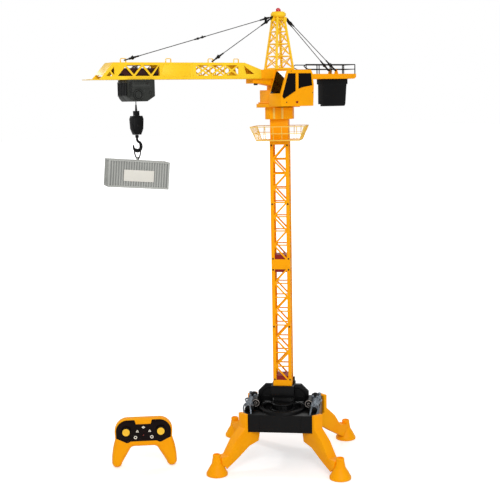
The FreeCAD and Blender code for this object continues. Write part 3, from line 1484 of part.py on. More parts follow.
def button(name):
    cap = button_prism(name, front_face() - 1.8, inner_face() + 0.5)
    collar = button_prism(name, inner_face() + running_gap, inner_face() + 1.6, 1.6)
    x, z = button_places[name]
    stem = cyl(x, inner_face() + 1, z, 1.6, 2.4, Y_AXIS)
    return in_handset(fuse([cap, collar, stem]))


# ---- write one file per node ----
def build():
    jib_inner, jib_outer = jib_parts()
    winch_front, winch_rear = trolley_shells()
    nodes = {
        "base_deck": base_deck(), "base_bottom": base_bottom(), "battery_cover": battery_cover(),
        "batteries": batteries(), "legs": legs(), "feet": feet(),
        "deck_fittings": deck_machines() + [lead_socket()], "deck_knobs": deck_knobs(),
        "pedestal": pedestal(), "mast_plugs": mast_plugs(), "mast_screws": mast_screws(),
        "platform_basket": platform(), "mast_head": mast_head(), "slew_collar": slew_collar(),
        "power_switch": power_switch(), "slew_plate": slew_plate(), "slew_housing": slew_housing(),
        "slew_motor": slew_motor(), "slew_pinion": slew_pinion(), "turret_frame": turret_frame(),
        "jib_knob": jib_knob(), "cab_shell": cab_shell(), "cab_windows": cab_windows(),
        "tower_top": tower_top_frame(), "beacon": beacon(), "jib_inner": jib_inner,
        "jib_outer": jib_outer, "travel_rack": travel_rack(), "trolley_carriage": trolley_carriage(),
        "front_wheelset": wheelset(-1), "rear_wheelset": wheelset(1), "travel_pinion": travel_pinion(),
        "winch_front": winch_front, "winch_rear": winch_rear, "hoist_drum": hoist_drum(),
        "trolley_motors": trolley_motors(), "hoist_rope": hoist_rope(), "hook_block": hook_block(),
        "hook": hook(), "load_link": load_link(), "container": container(),
        "counter_deck": counter_deck(), "hand_rails": hand_rails(), "counterweight": counterweight(),
        "pendant_lines": pendant_lines(), "pendant_clips": pendant_clips(),
        "handset_front": handset_front(), "handset_back": handset_back(),
        "handset_fascia": handset_fascia()}
    for name, foot in zip(("lower", "upper"), section_feet):
        nodes["mast_%s_front" % name] = mast_front(foot)
        nodes["mast_%s_rear" % name] = mast_rear(foot)
    for name in stick_places:
        nodes[name] = thumb_stick(name)
    for name in button_places:
        nodes[name] = button(name)
    return nodes


os.makedirs("parts", exist_ok=True)
for node_name, shape in build().items():
    whole = Part.Compound(shape) if isinstance(shape, list) else shape
    whole.exportStep("parts/%s.step" % node_name)
    solids = whole.Solids
    print(node_name, len(solids), "valid" if whole.isValid() else "INVALID",
          round(sum(s.Volume for s in solids) / 1000, 2), "cm3")
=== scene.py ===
import bpy
import bmesh
import json
import math
from mathutils import Matrix, Vector

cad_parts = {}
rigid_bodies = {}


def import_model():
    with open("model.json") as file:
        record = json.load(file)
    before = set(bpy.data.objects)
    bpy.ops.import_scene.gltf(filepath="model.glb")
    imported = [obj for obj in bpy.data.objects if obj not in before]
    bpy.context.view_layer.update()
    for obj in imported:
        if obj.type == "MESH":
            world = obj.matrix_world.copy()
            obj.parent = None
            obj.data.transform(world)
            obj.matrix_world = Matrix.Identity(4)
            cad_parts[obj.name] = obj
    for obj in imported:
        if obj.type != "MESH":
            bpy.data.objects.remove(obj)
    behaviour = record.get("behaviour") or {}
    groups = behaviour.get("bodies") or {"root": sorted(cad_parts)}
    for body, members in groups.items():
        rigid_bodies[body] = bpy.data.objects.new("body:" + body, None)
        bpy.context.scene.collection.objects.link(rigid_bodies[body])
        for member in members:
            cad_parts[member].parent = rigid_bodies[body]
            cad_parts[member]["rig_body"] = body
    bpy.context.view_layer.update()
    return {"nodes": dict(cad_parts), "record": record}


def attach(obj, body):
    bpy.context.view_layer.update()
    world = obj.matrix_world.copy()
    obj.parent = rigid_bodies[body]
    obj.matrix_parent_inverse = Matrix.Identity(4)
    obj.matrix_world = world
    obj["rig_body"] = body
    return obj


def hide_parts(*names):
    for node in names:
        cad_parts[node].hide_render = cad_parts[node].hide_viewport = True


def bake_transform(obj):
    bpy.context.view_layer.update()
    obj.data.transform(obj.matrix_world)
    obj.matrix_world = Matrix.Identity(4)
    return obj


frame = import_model()
slotOf = {part["node"]: part["material_slot"] for part in frame["record"]["subparts"]}
bodyOf = {node: piece["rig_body"] for node, piece in frame["nodes"].items()}
print("frame loaded:", len(frame["nodes"]), "nodes")

xAxis, yAxis, zAxis = Vector((1, 0, 0)), Vector((0, 1, 0)), Vector((0, 0, 1))
mm = 0.001


# camera, standing three metres back at the height of the slewing collar: metres, degrees and mm of lens
view = {"place": (-1.6498, -2.4138, 1.036), "heading": (0.539, 0.843), "pitch": -8.31, "roll": -1.06,
        "lens": 74.9, "sensor": 36.0, "far": 60.0}
camData = bpy.data.cameras.new("viewCamera")
camData.lens = view["lens"]
camData.sensor_width = view["sensor"]
camData.clip_end = view["far"]
cam = bpy.data.objects.new("viewCamera", camData)
bpy.context.scene.collection.objects.link(cam)
east, north = view["heading"]
pitch = math.radians(view["pitch"])
look = Vector((east * math.cos(pitch), north * math.cos(pitch), math.sin(pitch)))
rollCam = Matrix.Rotation(math.radians(view["roll"]), 4, "Z")
turnCam = look.to_track_quat("-Z", "Y").to_matrix().to_4x4() @ rollCam
cam.matrix_world = Matrix.Translation(Vector(view["place"])) @ turnCam
bpy.context.scene.camera = cam


# shader groups shared by the finishes
def newGroup(name, inputs, outputs):
    group = bpy.data.node_groups.new(name, "ShaderNodeTree")
    for label, kind, value in inputs:
        socket = group.interface.new_socket(name=label, in_out="INPUT", socket_type=kind)
        if value is not None:
            socket.default_value = value
    for label, kind in outputs:
        group.interface.new_socket(name=label, in_out="OUTPUT", socket_type=kind)
    return group, group.nodes.new("NodeGroupInput"), group.nodes.new("NodeGroupOutput")


def mathNode(tree, operation, a, b=None, clamp=False):
    node = tree.nodes.new("ShaderNodeMath")
    node.operation = operation
    node.use_clamp = clamp
    for socket, value in zip(node.inputs, (a, b)):
        if value is None:
            continue
        if isinstance(value, (int, float)):
            socket.default_value = value
        else:
            tree.links.new(value, socket)
    return node.outputs[0]


def noiseNode(tree, vector, scale, detail=3.0, rough=0.55):
    node = tree.nodes.new("ShaderNodeTexNoise")
    node.inputs["Detail"].default_value = detail
    node.inputs["Roughness"].default_value = rough
    tree.links.new(vector, node.inputs["Vector"])
    if isinstance(scale, (int, float)):
        node.inputs["Scale"].default_value = scale
    else:
        tree.links.new(scale, node.inputs["Scale"])
    return node.outputs["Fac"]


def rampNode(tree, fac, low, high):
    node = tree.nodes.new("ShaderNodeMapRange")
    node.inputs["From Min"].default_value = low
    node.inputs["From Max"].default_value = high
    tree.links.new(fac, node.inputs["Value"])
    return node.outputs["Result"]


# skin of moulded plastic: noises as scale per metre, detail and roughness, then the range in which each shows
skinLook = {"grain": (2.0, 0.6), "sink": (28.0, 2.0, 0.5), "flow": (9.0, 4.0, 0.6), "flowRange": (0.3, 0.72),
            "hair": (1.0, 1.0, 0.4), "hairRange": (0.66, 0.74), "hairStretch": (60.0, 900.0, 240.0),
            "hairTurn": (0.4, 0.7, 0.3), "patch": (22.0, 2.0, 0.5), "patchRange": (0.5, 0.66),
            "sinkHeight": 0.6, "rubHeight": 0.4, "bumpDepth": 0.00012,
            "flowRough": 0.07, "rubRough": 0.3, "coatRough": 0.12}


def makeMouldedSkin():
    # fine spark-eroded grain, soft flow marks and the odd hairline rub of handled plastic
    group, inp, out = newGroup("mouldedSkin", [
        ("Vector", "NodeSocketVector", None), ("Grain Scale", "NodeSocketFloat", 1400.0),
        ("Grain", "NodeSocketFloat", 0.5), ("Rubs", "NodeSocketFloat", 0.3)], [
        ("Height", "NodeSocketFloat"), ("Flow", "NodeSocketFloat"), ("Rub Mask", "NodeSocketFloat")])
    vector = inp.outputs["Vector"]
    grain = noiseNode(group, vector, inp.outputs["Grain Scale"], *skinLook["grain"])
    sink = noiseNode(group, vector, *skinLook["sink"])       # shallow waviness of a thin wall
    flow = noiseNode(group, vector, *skinLook["flow"])
    stretch = group.nodes.new("ShaderNodeMapping")
    stretch.inputs["Scale"].default_value = skinLook["hairStretch"]
    stretch.inputs["Rotation"].default_value = skinLook["hairTurn"]
    group.links.new(vector, stretch.inputs["Vector"])
    hair = noiseNode(group, stretch.outputs["Vector"], *skinLook["hair"])
    hairs = rampNode(group, hair, *skinLook["hairRange"])
    where = rampNode(group, noiseNode(group, vector, *skinLook["patch"]), *skinLook["patchRange"])
    rub = mathNode(group, "MULTIPLY", mathNode(group, "MULTIPLY", hairs, where), inp.outputs["Rubs"])
    grainHeight = mathNode(group, "MULTIPLY", grain, inp.outputs["Grain"])
    height = mathNode(group, "ADD", grainHeight, mathNode(group, "MULTIPLY", sink, skinLook["sinkHeight"]))
    height = mathNode(group, "SUBTRACT", height, mathNode(group, "MULTIPLY", rub, skinLook["rubHeight"]))
    group.links.new(height, out.inputs["Height"])
    group.links.new(rampNode(group, flow, *skinLook["flowRange"]), out.inputs["Flow"])
    group.links.new(rub, out.inputs["Rub Mask"])
    return group


dustLook = {"facing": (0.6, 1.0), "speck": (140.0, 5.0, 0.7), "speckRange": (0.42, 0.7),
            "colour": (0.62, 0.6, 0.56)}


def makeSettledDust():
    # a trace of dust on faces that look up, broken by noise
    group, inp, out = newGroup("settledDust", [
        ("Vector", "NodeSocketVector", None), ("Normal", "NodeSocketVector", None),
        ("Amount", "NodeSocketFloat", 0.1)], [("Mask", "NodeSocketFloat")])
    split = group.nodes.new("ShaderNodeSeparateXYZ")
    group.links.new(inp.outputs["Normal"], split.inputs[0])
    upward = rampNode(group, split.outputs["Z"], *dustLook["facing"])
    noise = noiseNode(group, inp.outputs["Vector"], *dustLook["speck"])
    speck = rampNode(group, noise, *dustLook["speckRange"])
    mask = mathNode(group, "MULTIPLY", upward, speck)
    group.links.new(mathNode(group, "MULTIPLY", mask, inp.outputs["Amount"]), out.inputs["Mask"])
    return group


# corners, paler partly from wear and partly as a painted edge highlight: bevel radius in metres, and how much
# paler such a corner is than the plastic
edgeWearHighlightLook = {"radius": 0.0007, "samples": 4, "corner": (0.01, 0.12), "broken": (190.0, 4.0, 0.65),
            "brokenRange": (0.35, 0.65), "gain": 1.12, "lift": (0.06, 0.05, 0.01)}


def makeWornEdgeHighlight():
    # corners found by comparing the plain normal with one rounded over a small radius, to be made paler as
    # wear and as a painted edge highlight
    group, inp, out = newGroup("wornEdgeHighlight", [
        ("Vector", "NodeSocketVector", None), ("Plain", "NodeSocketVector", None),
        ("Rounded", "NodeSocketVector", None), ("Amount", "NodeSocketFloat", 0.3)], [
        ("Mask", "NodeSocketFloat")])
    dot = group.nodes.new("ShaderNodeVectorMath")
    dot.operation = "DOT_PRODUCT"
    group.links.new(inp.outputs["Plain"], dot.inputs[0])
    group.links.new(inp.outputs["Rounded"], dot.inputs[1])
    corner = rampNode(group, mathNode(group, "SUBTRACT", 1.0, dot.outputs["Value"]), *edgeWearHighlightLook["corner"])
    noise = noiseNode(group, inp.outputs["Vector"], *edgeWearHighlightLook["broken"])
    broken = rampNode(group, noise, *edgeWearHighlightLook["brokenRange"])
    mask = mathNode(group, "MULTIPLY", corner, broken)
    group.links.new(mathNode(group, "MULTIPLY", mask, inp.outputs["Amount"]), out.inputs["Mask"])
    return group


groups = {"skin": makeMouldedSkin(), "dust": makeSettledDust(), "edge": makeWornEdgeHighlight()}


def placeGroup(tree, key, **values):
    node = tree.nodes.new("ShaderNodeGroup")
    node.node_tree = groups[key]
    for label, value in values.items():
        socket = node.inputs[label.replace("_", " ")]
        if isinstance(value, (int, float)):
            socket.default_value = value
        else:
            tree.links.new(value, socket)
    return node


def mixColour(tree, fac, a, b):
    node = tree.nodes.new("ShaderNodeMix")
    node.data_type = "RGBA"
    for socket, value in ((node.inputs["Factor"], fac), (node.inputs["A"], a), (node.inputs["B"], b)):
        if isinstance(value, (tuple, list)):
            socket.default_value = (*value, 1.0)
        elif isinstance(value, (int, float)):
            socket.default_value = value
        else:
            tree.links.new(value, socket)
    return node.outputs["Result"]


def linear(*rgb):
    # a colour given as three values up to 255, taken off the screen's curve
    shares = (c / 255 for c in rgb)
    return tuple(c / 12.92 if c <= 0.04045 else ((c + 0.055) / 1.055) ** 2.4 for c in shares)


def moulded(name, colour, deep, rough, grain=0.5, grainScale=1400.0, rubs=0.3, dust=0.06, edge=0.25,
            paler=None, coat=0.0, metallic=0.0, bump=0.25, specular=0.5):
    # a plastic moulding: body colour drifting to a deeper one, rubs, pale corners that are partly wear and
    # partly a painted edge highlight, dust
    material = bpy.data.materials.new(name)
    material.use_nodes = True
    tree = material.node_tree
    shader = tree.nodes["Principled BSDF"]
    coords = tree.nodes.new("ShaderNodeTexCoord").outputs["Object"]
    geometry = tree.nodes.new("ShaderNodeNewGeometry")
    bevel = tree.nodes.new("ShaderNodeBevel")
    bevel.samples = edgeWearHighlightLook["samples"]
    bevel.inputs["Radius"].default_value = edgeWearHighlightLook["radius"]
    skin = placeGroup(tree, "skin", Vector=coords, Grain_Scale=grainScale, Grain=grain, Rubs=rubs)
    normal = geometry.outputs["Normal"]
    wearAndHighlight = placeGroup(tree, "edge", Vector=coords, Plain=normal, Rounded=bevel.outputs[0], Amount=edge)
    dusty = placeGroup(tree, "dust", Vector=coords, Normal=normal, Amount=dust)
    # the corners' paler colour stands for wear and for a painted highlight along the edges
    if paler is None:
        paler = tuple(min(1.0, c * edgeWearHighlightLook["gain"] + lift) for c, lift in zip(colour, edgeWearHighlightLook["lift"]))
    body = mixColour(tree, skin.outputs["Flow"], colour, deep)
    # corners made paler: wear, and a painted highlight along the edges
    body = mixColour(tree, wearAndHighlight.outputs["Mask"], body, paler)
    body = mixColour(tree, skin.outputs["Rub Mask"], body, paler)
    body = mixColour(tree, dusty.outputs["Mask"], body, dustLook["colour"])
    tree.links.new(body, shader.inputs["Base Color"])
    flowRough = mathNode(tree, "MULTIPLY", skin.outputs["Flow"], skinLook["flowRough"])
    roughness = mathNode(tree, "ADD", rough, flowRough)
    rubRough = mathNode(tree, "MULTIPLY", skin.outputs["Rub Mask"], skinLook["rubRough"])
    roughness = mathNode(tree, "ADD", roughness, rubRough)
    roughness = mathNode(tree, "ADD", roughness, dusty.outputs["Mask"], clamp=True)
    tree.links.new(roughness, shader.inputs["Roughness"])
    bumpNode = tree.nodes.new("ShaderNodeBump")
    bumpNode.inputs["Strength"].default_value = bump
    bumpNode.inputs["Distance"].default_value = skinLook["bumpDepth"]
    tree.links.new(skin.outputs["Height"], bumpNode.inputs["Height"])
    tree.links.new(bevel.outputs[0], bumpNode.inputs["Normal"])
    tree.links.new(bumpNode.outputs["Normal"], shader.inputs["Normal"])
    shader.inputs["Metallic"].default_value = metallic
    shader.inputs["Coat Weight"].default_value = coat
    shader.inputs["Coat Roughness"].default_value = skinLook["coatRough"]
    shader.inputs["Specular IOR Level"].default_value = specular
    return material


brushLook = {"stretch": (40.0, 1200.0, 1200.0), "line": (1.0, 2.0, 0.5), "stain": (60.0, 4.0, 0.6),
             "stainRange": (0.35, 0.7), "stainShade": 0.72, "lineRough": 0.2,
             "bump": 0.2, "bumpDepth": 0.0001}


def brushedMetal(name, colour, rough):
    # bright metal with fine drawn lines and a few duller stains
    material = bpy.data.materials.new(name)
    material.use_nodes = True
    tree = material.node_tree
    shader = tree.nodes["Principled BSDF"]
    coords = tree.nodes.new("ShaderNodeTexCoord").outputs["Object"]
    mapping = tree.nodes.new("ShaderNodeMapping")
    mapping.inputs["Scale"].default_value = brushLook["stretch"]
    tree.links.new(coords, mapping.inputs["Vector"])
    lines = noiseNode(tree, mapping.outputs["Vector"], *brushLook["line"])
    stain = rampNode(tree, noiseNode(tree, coords, *brushLook["stain"]), *brushLook["stainRange"])
    body = mixColour(tree, stain, colour, tuple(c * brushLook["stainShade"] for c in colour))
    tree.links.new(body, shader.inputs["Base Color"])
    lineRough = mathNode(tree, "MULTIPLY", lines, brushLook["lineRough"])
    tree.links.new(mathNode(tree, "ADD", rough, lineRough), shader.inputs["Roughness"])
    bumpNode = tree.nodes.new("ShaderNodeBump")
    bumpNode.inputs["Strength"].default_value = brushLook["bump"]
    bumpNode.inputs["Distance"].default_value = brushLook["bumpDepth"]
    tree.links.new(lines, bumpNode.inputs["Height"])
    tree.links.new(bumpNode.outputs["Normal"], shader.inputs["Normal"])
    shader.inputs["Metallic"].default_value = 1.0
    return material


# one finish for each material slot of the solid, then those that only the dressed pieces have
finish = {
    "mast_yellow": moulded("mastYellow", linear(255, 174, 0), linear(255, 160, 0), 0.38, specular=0.1),
    "jib_yellow": moulded("jibYellow", linear(255, 212, 44), linear(255, 200, 24), 0.32, specular=0.22),
    "rail_yellow": moulded("railYellow", linear(246, 206, 96), linear(238, 190, 66), 0.4, specular=0.3),
    "black_plastic": moulded("blackPlastic", linear(9, 9, 10), linear(5, 5, 6), 0.3, grain=0.6, edge=0.25,
                             paler=linear(60, 60, 62), rubs=0.1, dust=0.01, specular=0.17),
    "dark_grey_plastic": moulded("darkGreyPlastic", linear(46, 48, 45), linear(36, 38, 35), 0.38, grain=0.8,
                                 edge=0.45, paler=linear(112, 114, 110), dust=0.02, specular=0.25),
    # gunmetal's corners turn near white: painted glints along with wear
    "gunmetal_plastic": moulded("gunmetalPlastic", linear(136, 146, 156), linear(70, 76, 84), 0.26,
                                metallic=0.6, edge=0.6, paler=linear(214, 218, 222), dust=0.02),
    "red_plastic": moulded("redPlastic", linear(158, 20, 8), linear(112, 10, 6), 0.38, specular=0.3),
    "beacon_red": moulded("beaconRed", linear(214, 16, 34), linear(180, 8, 22), 0.14, grain=0.05, coat=0.6,
                          bump=0.05),
    "window_dark": moulded("windowDark", linear(7, 1, 2), linear(4, 1, 1), 0.05, grain=0.02, rubs=0.03,
                           edge=0.03, coat=0.2, bump=0.03, dust=0.0, specular=0.06),
    "steel": brushedMetal("steel", linear(196, 197, 200), 0.28),
    "screw_black": moulded("screwBlack", linear(40, 30, 28), linear(24, 18, 18), 0.3, metallic=0.6, edge=0.5,
                           paler=linear(130, 120, 112), grain=0.2),
    "container_grey": moulded("containerGrey", linear(178, 179, 174), linear(162, 163, 158), 0.5, grain=0.9,
                              edge=0.3, paler=linear(226, 227, 224), specular=0.3),
    "line_grey": moulded("lineGrey", linear(46, 46, 48), linear(26, 26, 28), 0.62, grain=1.0,
                         grainScale=2600.0),
    "rack_brown": moulded("rackBrown", linear(112, 44, 20), linear(84, 30, 14), 0.45, specular=0.3),
    "battery_wrap": moulded("batteryWrap", linear(84, 88, 96), linear(70, 74, 84), 0.25, coat=0.5, grain=0.1),
    "stick_yellow": moulded("stickYellow", linear(255, 208, 66), linear(255, 192, 40), 0.6, grain=0.8,
                            grainScale=900.0, dust=0.02, specular=0.3),
    "button_dark": moulded("buttonDark", linear(40, 32, 34), linear(28, 22, 24), 0.4, grain=0.5,
                           specular=0.3),
}
printPale = moulded("printPale", linear(255, 248, 234), linear(252, 242, 224), 0.5, grain=0.2, edge=0.0)
clipBlack = moulded("clipBlack", linear(9, 9, 9), linear(5, 5, 5), 0.28, edge=0.25, grain=0.3,
                    paler=linear(80, 80, 82), specular=0.2)
fasciaGloss = moulded("fasciaGloss", linear(24, 9, 8), linear(14, 5, 5), 0.16, grain=0.3, edge=0.3,
                      paler=linear(120, 96, 92), coat=0.08, dust=0.0, specular=0.06)
lampLens = moulded("lampLens", linear(150, 42, 34), linear(120, 26, 22), 0.18, grain=0.05, coat=0.5)
labelPale = moulded("labelPale", linear(222, 219, 210), linear(214, 210, 200), 0.42, grain=0.15, edge=0.1)
carriageMaroon = moulded("carriageMaroon", linear(66, 22, 18), linear(42, 12, 12), 0.4, edge=0.2,
                         paler=linear(110, 60, 52), specular=0.25)
rimPale = moulded("rimPale", linear(190, 180, 172), linear(150, 140, 136), 0.3, metallic=0.4, edge=0.3)
print("finishes ready for", len(finish), "slots")


# mesh helpers: every piece is one bmesh, kept in place with its object at the origin
def place(*values):
    return Vector(values) * mm


def turned(degrees, axis="Z", about=(0, 0, 0)):
    shift = Matrix.Translation(place(*about))
    return shift @ Matrix.Rotation(math.radians(degrees), 4, axis) @ shift.inverted()


# the base stands turned under the jib, and the handset has its own place on the floor
onBase = turned(-40.4)
onHandset = Matrix.Translation(place(-371.7, 166, 0)) @ turned(-27.8)


def addBox(bm, low, high, spin=None):
    size = [b - a for a, b in zip(low, high)]
    middle = [(a + b) / 2 for a, b in zip(low, high)]
    matrix = Matrix.Translation(place(*middle)) @ Matrix.Diagonal((*(s * mm for s in size), 1.0))
    if spin:
        matrix = spin @ matrix
    return bmesh.ops.create_cube(bm, size=1.0, matrix=matrix)["verts"]


def alongAxis(start, end):
    start, end = Vector(start), Vector(end)
    return Matrix.Translation((start + end) / 2) @ (end - start).to_track_quat("Z", "Y").to_matrix().to_4x4()


def addRod(bm, start, end, radius, radiusEnd=None, sides=16):
    start, end = place(*start), place(*end)
    radiusEnd = radius if radiusEnd is None else radiusEnd
    bmesh.ops.create_cone(bm, cap_ends=True, segments=sides, radius1=radius * mm, radius2=radiusEnd * mm,
                          depth=(end - start).length, matrix=alongAxis(start, end))


def addTurned(bm, profile, centre, axis=zAxis, steps=40):
    # profile is (radius, height) along the axis, spun a full turn about it
    axis = Vector(axis).normalized()
    lift = axis.to_track_quat("Z", "Y").to_matrix().to_4x4()
    matrix = Matrix.Translation(place(*centre)) @ lift
    verts = [bm.verts.new(matrix @ place(r, 0, h)) for r, h in profile]
    edges = [bm.edges.new(pair) for pair in zip(verts, verts[1:])]
    bmesh.ops.spin(bm, geom=verts + edges, cent=place(*centre), axis=axis, angle=2 * math.pi, steps=steps,
                   use_merge=True)


def addPrism(bm, outline, axis, low, high):
    # the outline lies square to the axis, and its points are the other two coordinates in order
    spots = {"x": lambda u, v: place(low, u, v), "y": lambda u, v: place(u, low, v),
             "z": lambda u, v: place(u, v, low)}
    face = bm.faces.new([bm.verts.new(spots[axis](u, v)) for u, v in outline])
    made = bmesh.ops.extrude_face_region(bm, geom=[face])
    far = [v for v in made["geom"] if isinstance(v, bmesh.types.BMVert)]
    shift = {"x": xAxis, "y": yAxis, "z": zAxis}[axis] * (high - low) * mm
    bmesh.ops.translate(bm, verts=far, vec=shift)
    return list(face.verts) + far


def addTorus(bm, centre, radius, wire, axis=zAxis, steps=40, sides=10):
    angles = [2 * math.pi * k / sides for k in range(sides)]
    loop = [(radius + wire * math.cos(angle), wire * math.sin(angle)) for angle in angles]
    addTurned(bm, loop + loop[:1], centre, axis, steps)


def addBentRod(bm, points, radius, swell=None, closed=False, sides=3, matrix=None):
    # a wire bent along the points, thicker or thinner where swell says so
    curve = bpy.data.curves.new("bentRod", "CURVE")
    curve.dimensions = "3D"
    curve.bevel_depth = radius * mm
    curve.bevel_resolution = sides
    curve.resolution_u = 5
    curve.use_fill_caps = True
    spline = curve.splines.new("NURBS")
    spline.points.add(len(points) - 1)
    for k, spot in enumerate(points):
        spline.points[k].co = (*place(*spot), 1.0)
        spline.points[k].radius = swell[k] if swell else 1.0
    spline.use_cyclic_u = closed
    spline.order_u = 3
    spline.use_endpoint_u = not closed
    holder = bpy.data.objects.new("bentRod", curve)
    mesh = bpy.data.meshes.new_from_object(holder)
    if matrix:
        mesh.transform(matrix)
    bm.from_mesh(mesh)
    bpy.data.objects.remove(holder)
    bpy.data.curves.remove(curve)
    bpy.data.meshes.remove(mesh)


lay = {"strands": 3, "sides": 4, "groove": 0.62}


def addTwistedLine(bm, start, end, radius, pitch, stepsPerTurn=9):
    # a lobed section, sunk between its strands, swept along the line while it turns about it
    start, end = place(*start), place(*end)
    along = end - start
    matrix = Matrix.Translation(start) @ along.to_track_quat("Z", "Y").to_matrix().to_4x4()
    count = lay["strands"] * lay["sides"]
    ring = bmesh.ops.create_circle(bm, segments=count, radius=radius * mm, matrix=matrix)["verts"]
    for vert in ring[::lay["sides"]]:
        vert.co = start + (vert.co - start) * lay["groove"]
    edges = list({e for v in ring for e in v.link_edges})
    turns = max(1, round(along.length / (pitch * mm)))
    steps = turns * stepsPerTurn
    bmesh.ops.spin(bm, geom=ring + edges, cent=start, axis=along.normalized(), dvec=along / steps,
                   angle=2 * math.pi * turns, steps=steps, use_merge=False)


def quarterTurns(bm):
    # the corner drawn along +X, once for each corner of the base
    bmesh.ops.rotate(bm, verts=bm.verts, cent=(0, 0, 0), matrix=Matrix.Rotation(math.pi / 4, 3, "Z"))
    corner = bm.verts[:] + bm.edges[:] + bm.faces[:]
    for k in range(1, 4):
        copy = bmesh.ops.duplicate(bm, geom=corner)["geom"]
        verts = [v for v in copy if isinstance(v, bmesh.types.BMVert)]
        bmesh.ops.rotate(bm, verts=verts, cent=(0, 0, 0), matrix=Matrix.Rotation(math.pi / 2 * k, 3, "Z"))


def roundEdges(bm, width, angle=30.0, segments=2, only=None):
    # corners sharper than the angle; only leaves some of them out
    edges = [e for e in bm.edges if len(e.link_faces) == 2 and e.calc_face_angle(0.0) > math.radians(angle)]
    if only:
        edges = [e for e in edges if only(e)]
    if edges:
        bmesh.ops.bevel(bm, geom=edges, offset=width * mm, offset_type="OFFSET", affect="EDGES",
                        segments=segments, profile=0.5, material=-1, clamp_overlap=True)


def finishPiece(name, bm, material, body, replaces=(), smooth=35.0, weld=True, turn=None):
    # the mesh becomes an object that rides with its body and stands in for the nodes it replaces
    if weld:
        bmesh.ops.remove_doubles(bm, verts=bm.verts, dist=1e-6)
        bmesh.ops.recalc_face_normals(bm, faces=bm.faces)
    if turn:
        bmesh.ops.transform(bm, matrix=turn, verts=bm.verts)
    mesh = bpy.data.meshes.new(name)
    bm.to_mesh(mesh)
    bm.free()
    mesh.shade_smooth()
    mesh.set_sharp_from_angle(angle=math.radians(smooth))
    mesh.materials.append(material)
    piece = bpy.data.objects.new(name, mesh)
    bpy.context.scene.collection.objects.link(piece)
    if body:
        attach(piece, body)
    if replaces:
        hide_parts(*replaces)
    return piece


def mergedCopy(node):
    # the node's solid as one welded mesh, with its flat faces made whole
    bm = bmesh.new()
    bm.from_mesh(frame["nodes"][node].data)
    bmesh.ops.remove_doubles(bm, verts=bm.verts, dist=2e-6)
    bmesh.ops.dissolve_limit(bm, angle_limit=math.radians(0.5), verts=bm.verts, edges=bm.edges)
    return bm


# mouldings that keep the solid's shape and get their moulded radii here: width in mm, then pieces per edge
mouldings = {
    "legs": (2.4, 3), "base_deck": (1.0, 2), "pedestal": (1.2, 2), "base_bottom": (0.6, 1),
    "battery_cover": (0.4, 1), "mast_lower_front": (0.45, 1), "mast_lower_rear": (0.45, 1),
    "mast_upper_front": (0.45, 1), "mast_upper_rear": (0.45, 1), "mast_head": (0.8, 2),
    "slew_plate": (0.9, 2), "slew_housing": (1.4, 2), "turret_frame": (0.9, 2), "tower_top": (0.35, 1),
    "jib_inner": (0.6, 2),
    "jib_outer": (0.6, 2), "cab_shell": (0.9, 2), "counter_deck": (0.7, 2), "counterweight": (1.6, 3),
    "trolley_carriage": (0.4, 1), "winch_front": (0.5, 2), "winch_rear": (0.8, 2), "hook_block": (1.1, 3),
    "platform_basket": (0.0, 1), "hand_rails": (0.0, 1), "jib_knob": (0.7, 2), "mast_plugs": (0.5, 1),
    "cab_windows": (0.2, 1), "power_switch": (0.4, 1), "handset_fascia": (0.5, 2), "deck_fittings": (0.8, 2),
}
ownFinish = {"trolley_carriage": carriageMaroon, "deck_fittings": finish["black_plastic"],
             "handset_fascia": fasciaGloss}

# the wire eyelets on the jib, above this height in mm, keep their square edges
eyelets = {"nodes": ("jib_inner", "jib_outer"), "from": 1130.4}


def finishOf(node):
    return ownFinish.get(node, finish[slotOf[node]])


def makeMouldings():
    for node, (width, segments) in mouldings.items():
        bm = mergedCopy(node)
        if width:
            top = eyelets["from"] * mm if node in eyelets["nodes"] else math.inf
            roundEdges(bm, width, segments=segments, only=lambda e: max(v.co.z for v in e.verts) < top)
        name = "".join(word.capitalize() if k else word for k, word in enumerate(node.split("_")))
        finishPiece(name + "Moulded", bm, finishOf(node), bodyOf[node], (node,), weld=False)
    print("mouldings rounded:", len(mouldings))


makeMouldings()

for node, piece in frame["nodes"].items():
    piece.data.materials.clear()
    piece.data.materials.append(finishOf(node))


# bell feet with a rolled rim and a dished post
feetShape = {"reach": 241.83, "steps": 48, "profile": (
    (0, 0), (28.4, 0), (29.6, 0.8), (30, 2.2), (30, 6.2), (29.3, 8.2), (27.4, 10.6), (25.6, 14.4),
    (23.2, 19.2), (19.6, 25.2), (16.8, 29.4), (15.3, 31.6), (14.9, 33.2), (14.4, 34.4), (13.9, 38), (12.6, 44),
    (11.5, 50), (10.9, 53.4), (11.3, 54.4), (11.3, 56.6), (10.7, 58.4), (9.4, 59.7), (8.2, 60), (7.3, 59.4),
    (7, 58), (6.8, 54.6), (5.8, 54), (0, 54))}


def makeFeet():
    bm = bmesh.new()
    addTurned(bm, feetShape["profile"], (feetShape["reach"], 0, 0), steps=feetShape["steps"])
    quarterTurns(bm)
    finishPiece("bellFeet", bm, finish["mast_yellow"], "base", ("feet",), turn=onBase)


# big ring and ribbed drum moulded on the deck, front and rear
deckRing = {
    "offset": 40.0, "drumOffset": 36.0,
    "ribs": (-52, -35, -18, 0, 18, 35, 52), "rib": ((28, -1.5, 155), (32.4, 1.5, 169)),
    "ring": ((66, 153), (66, 157.5), (65.4, 160.6), (63.8, 162.4), (61.6, 162.6), (60.2, 161.4),
             (59.4, 159.8), (58.4, 159.4), (57.4, 160.2), (56.4, 161.2), (55.2, 160.8), (54.4, 159),
             (54.2, 153), (66, 153)),
    "cap": ((0, 174.4), (19, 174.4), (21, 173.4), (24, 173.2), (27, 174.2), (31.6, 174), (33.4, 172.6),
            (33.8, 170.4), (32.8, 168.6), (30.6, 168), (28, 168), (0, 168)),
    "foot": ((28, 153), (36, 153), (36.4, 155.4), (35, 157), (33, 157.2), (31.4, 156.2), (30, 156.6),
             (28, 157), (28, 153))}


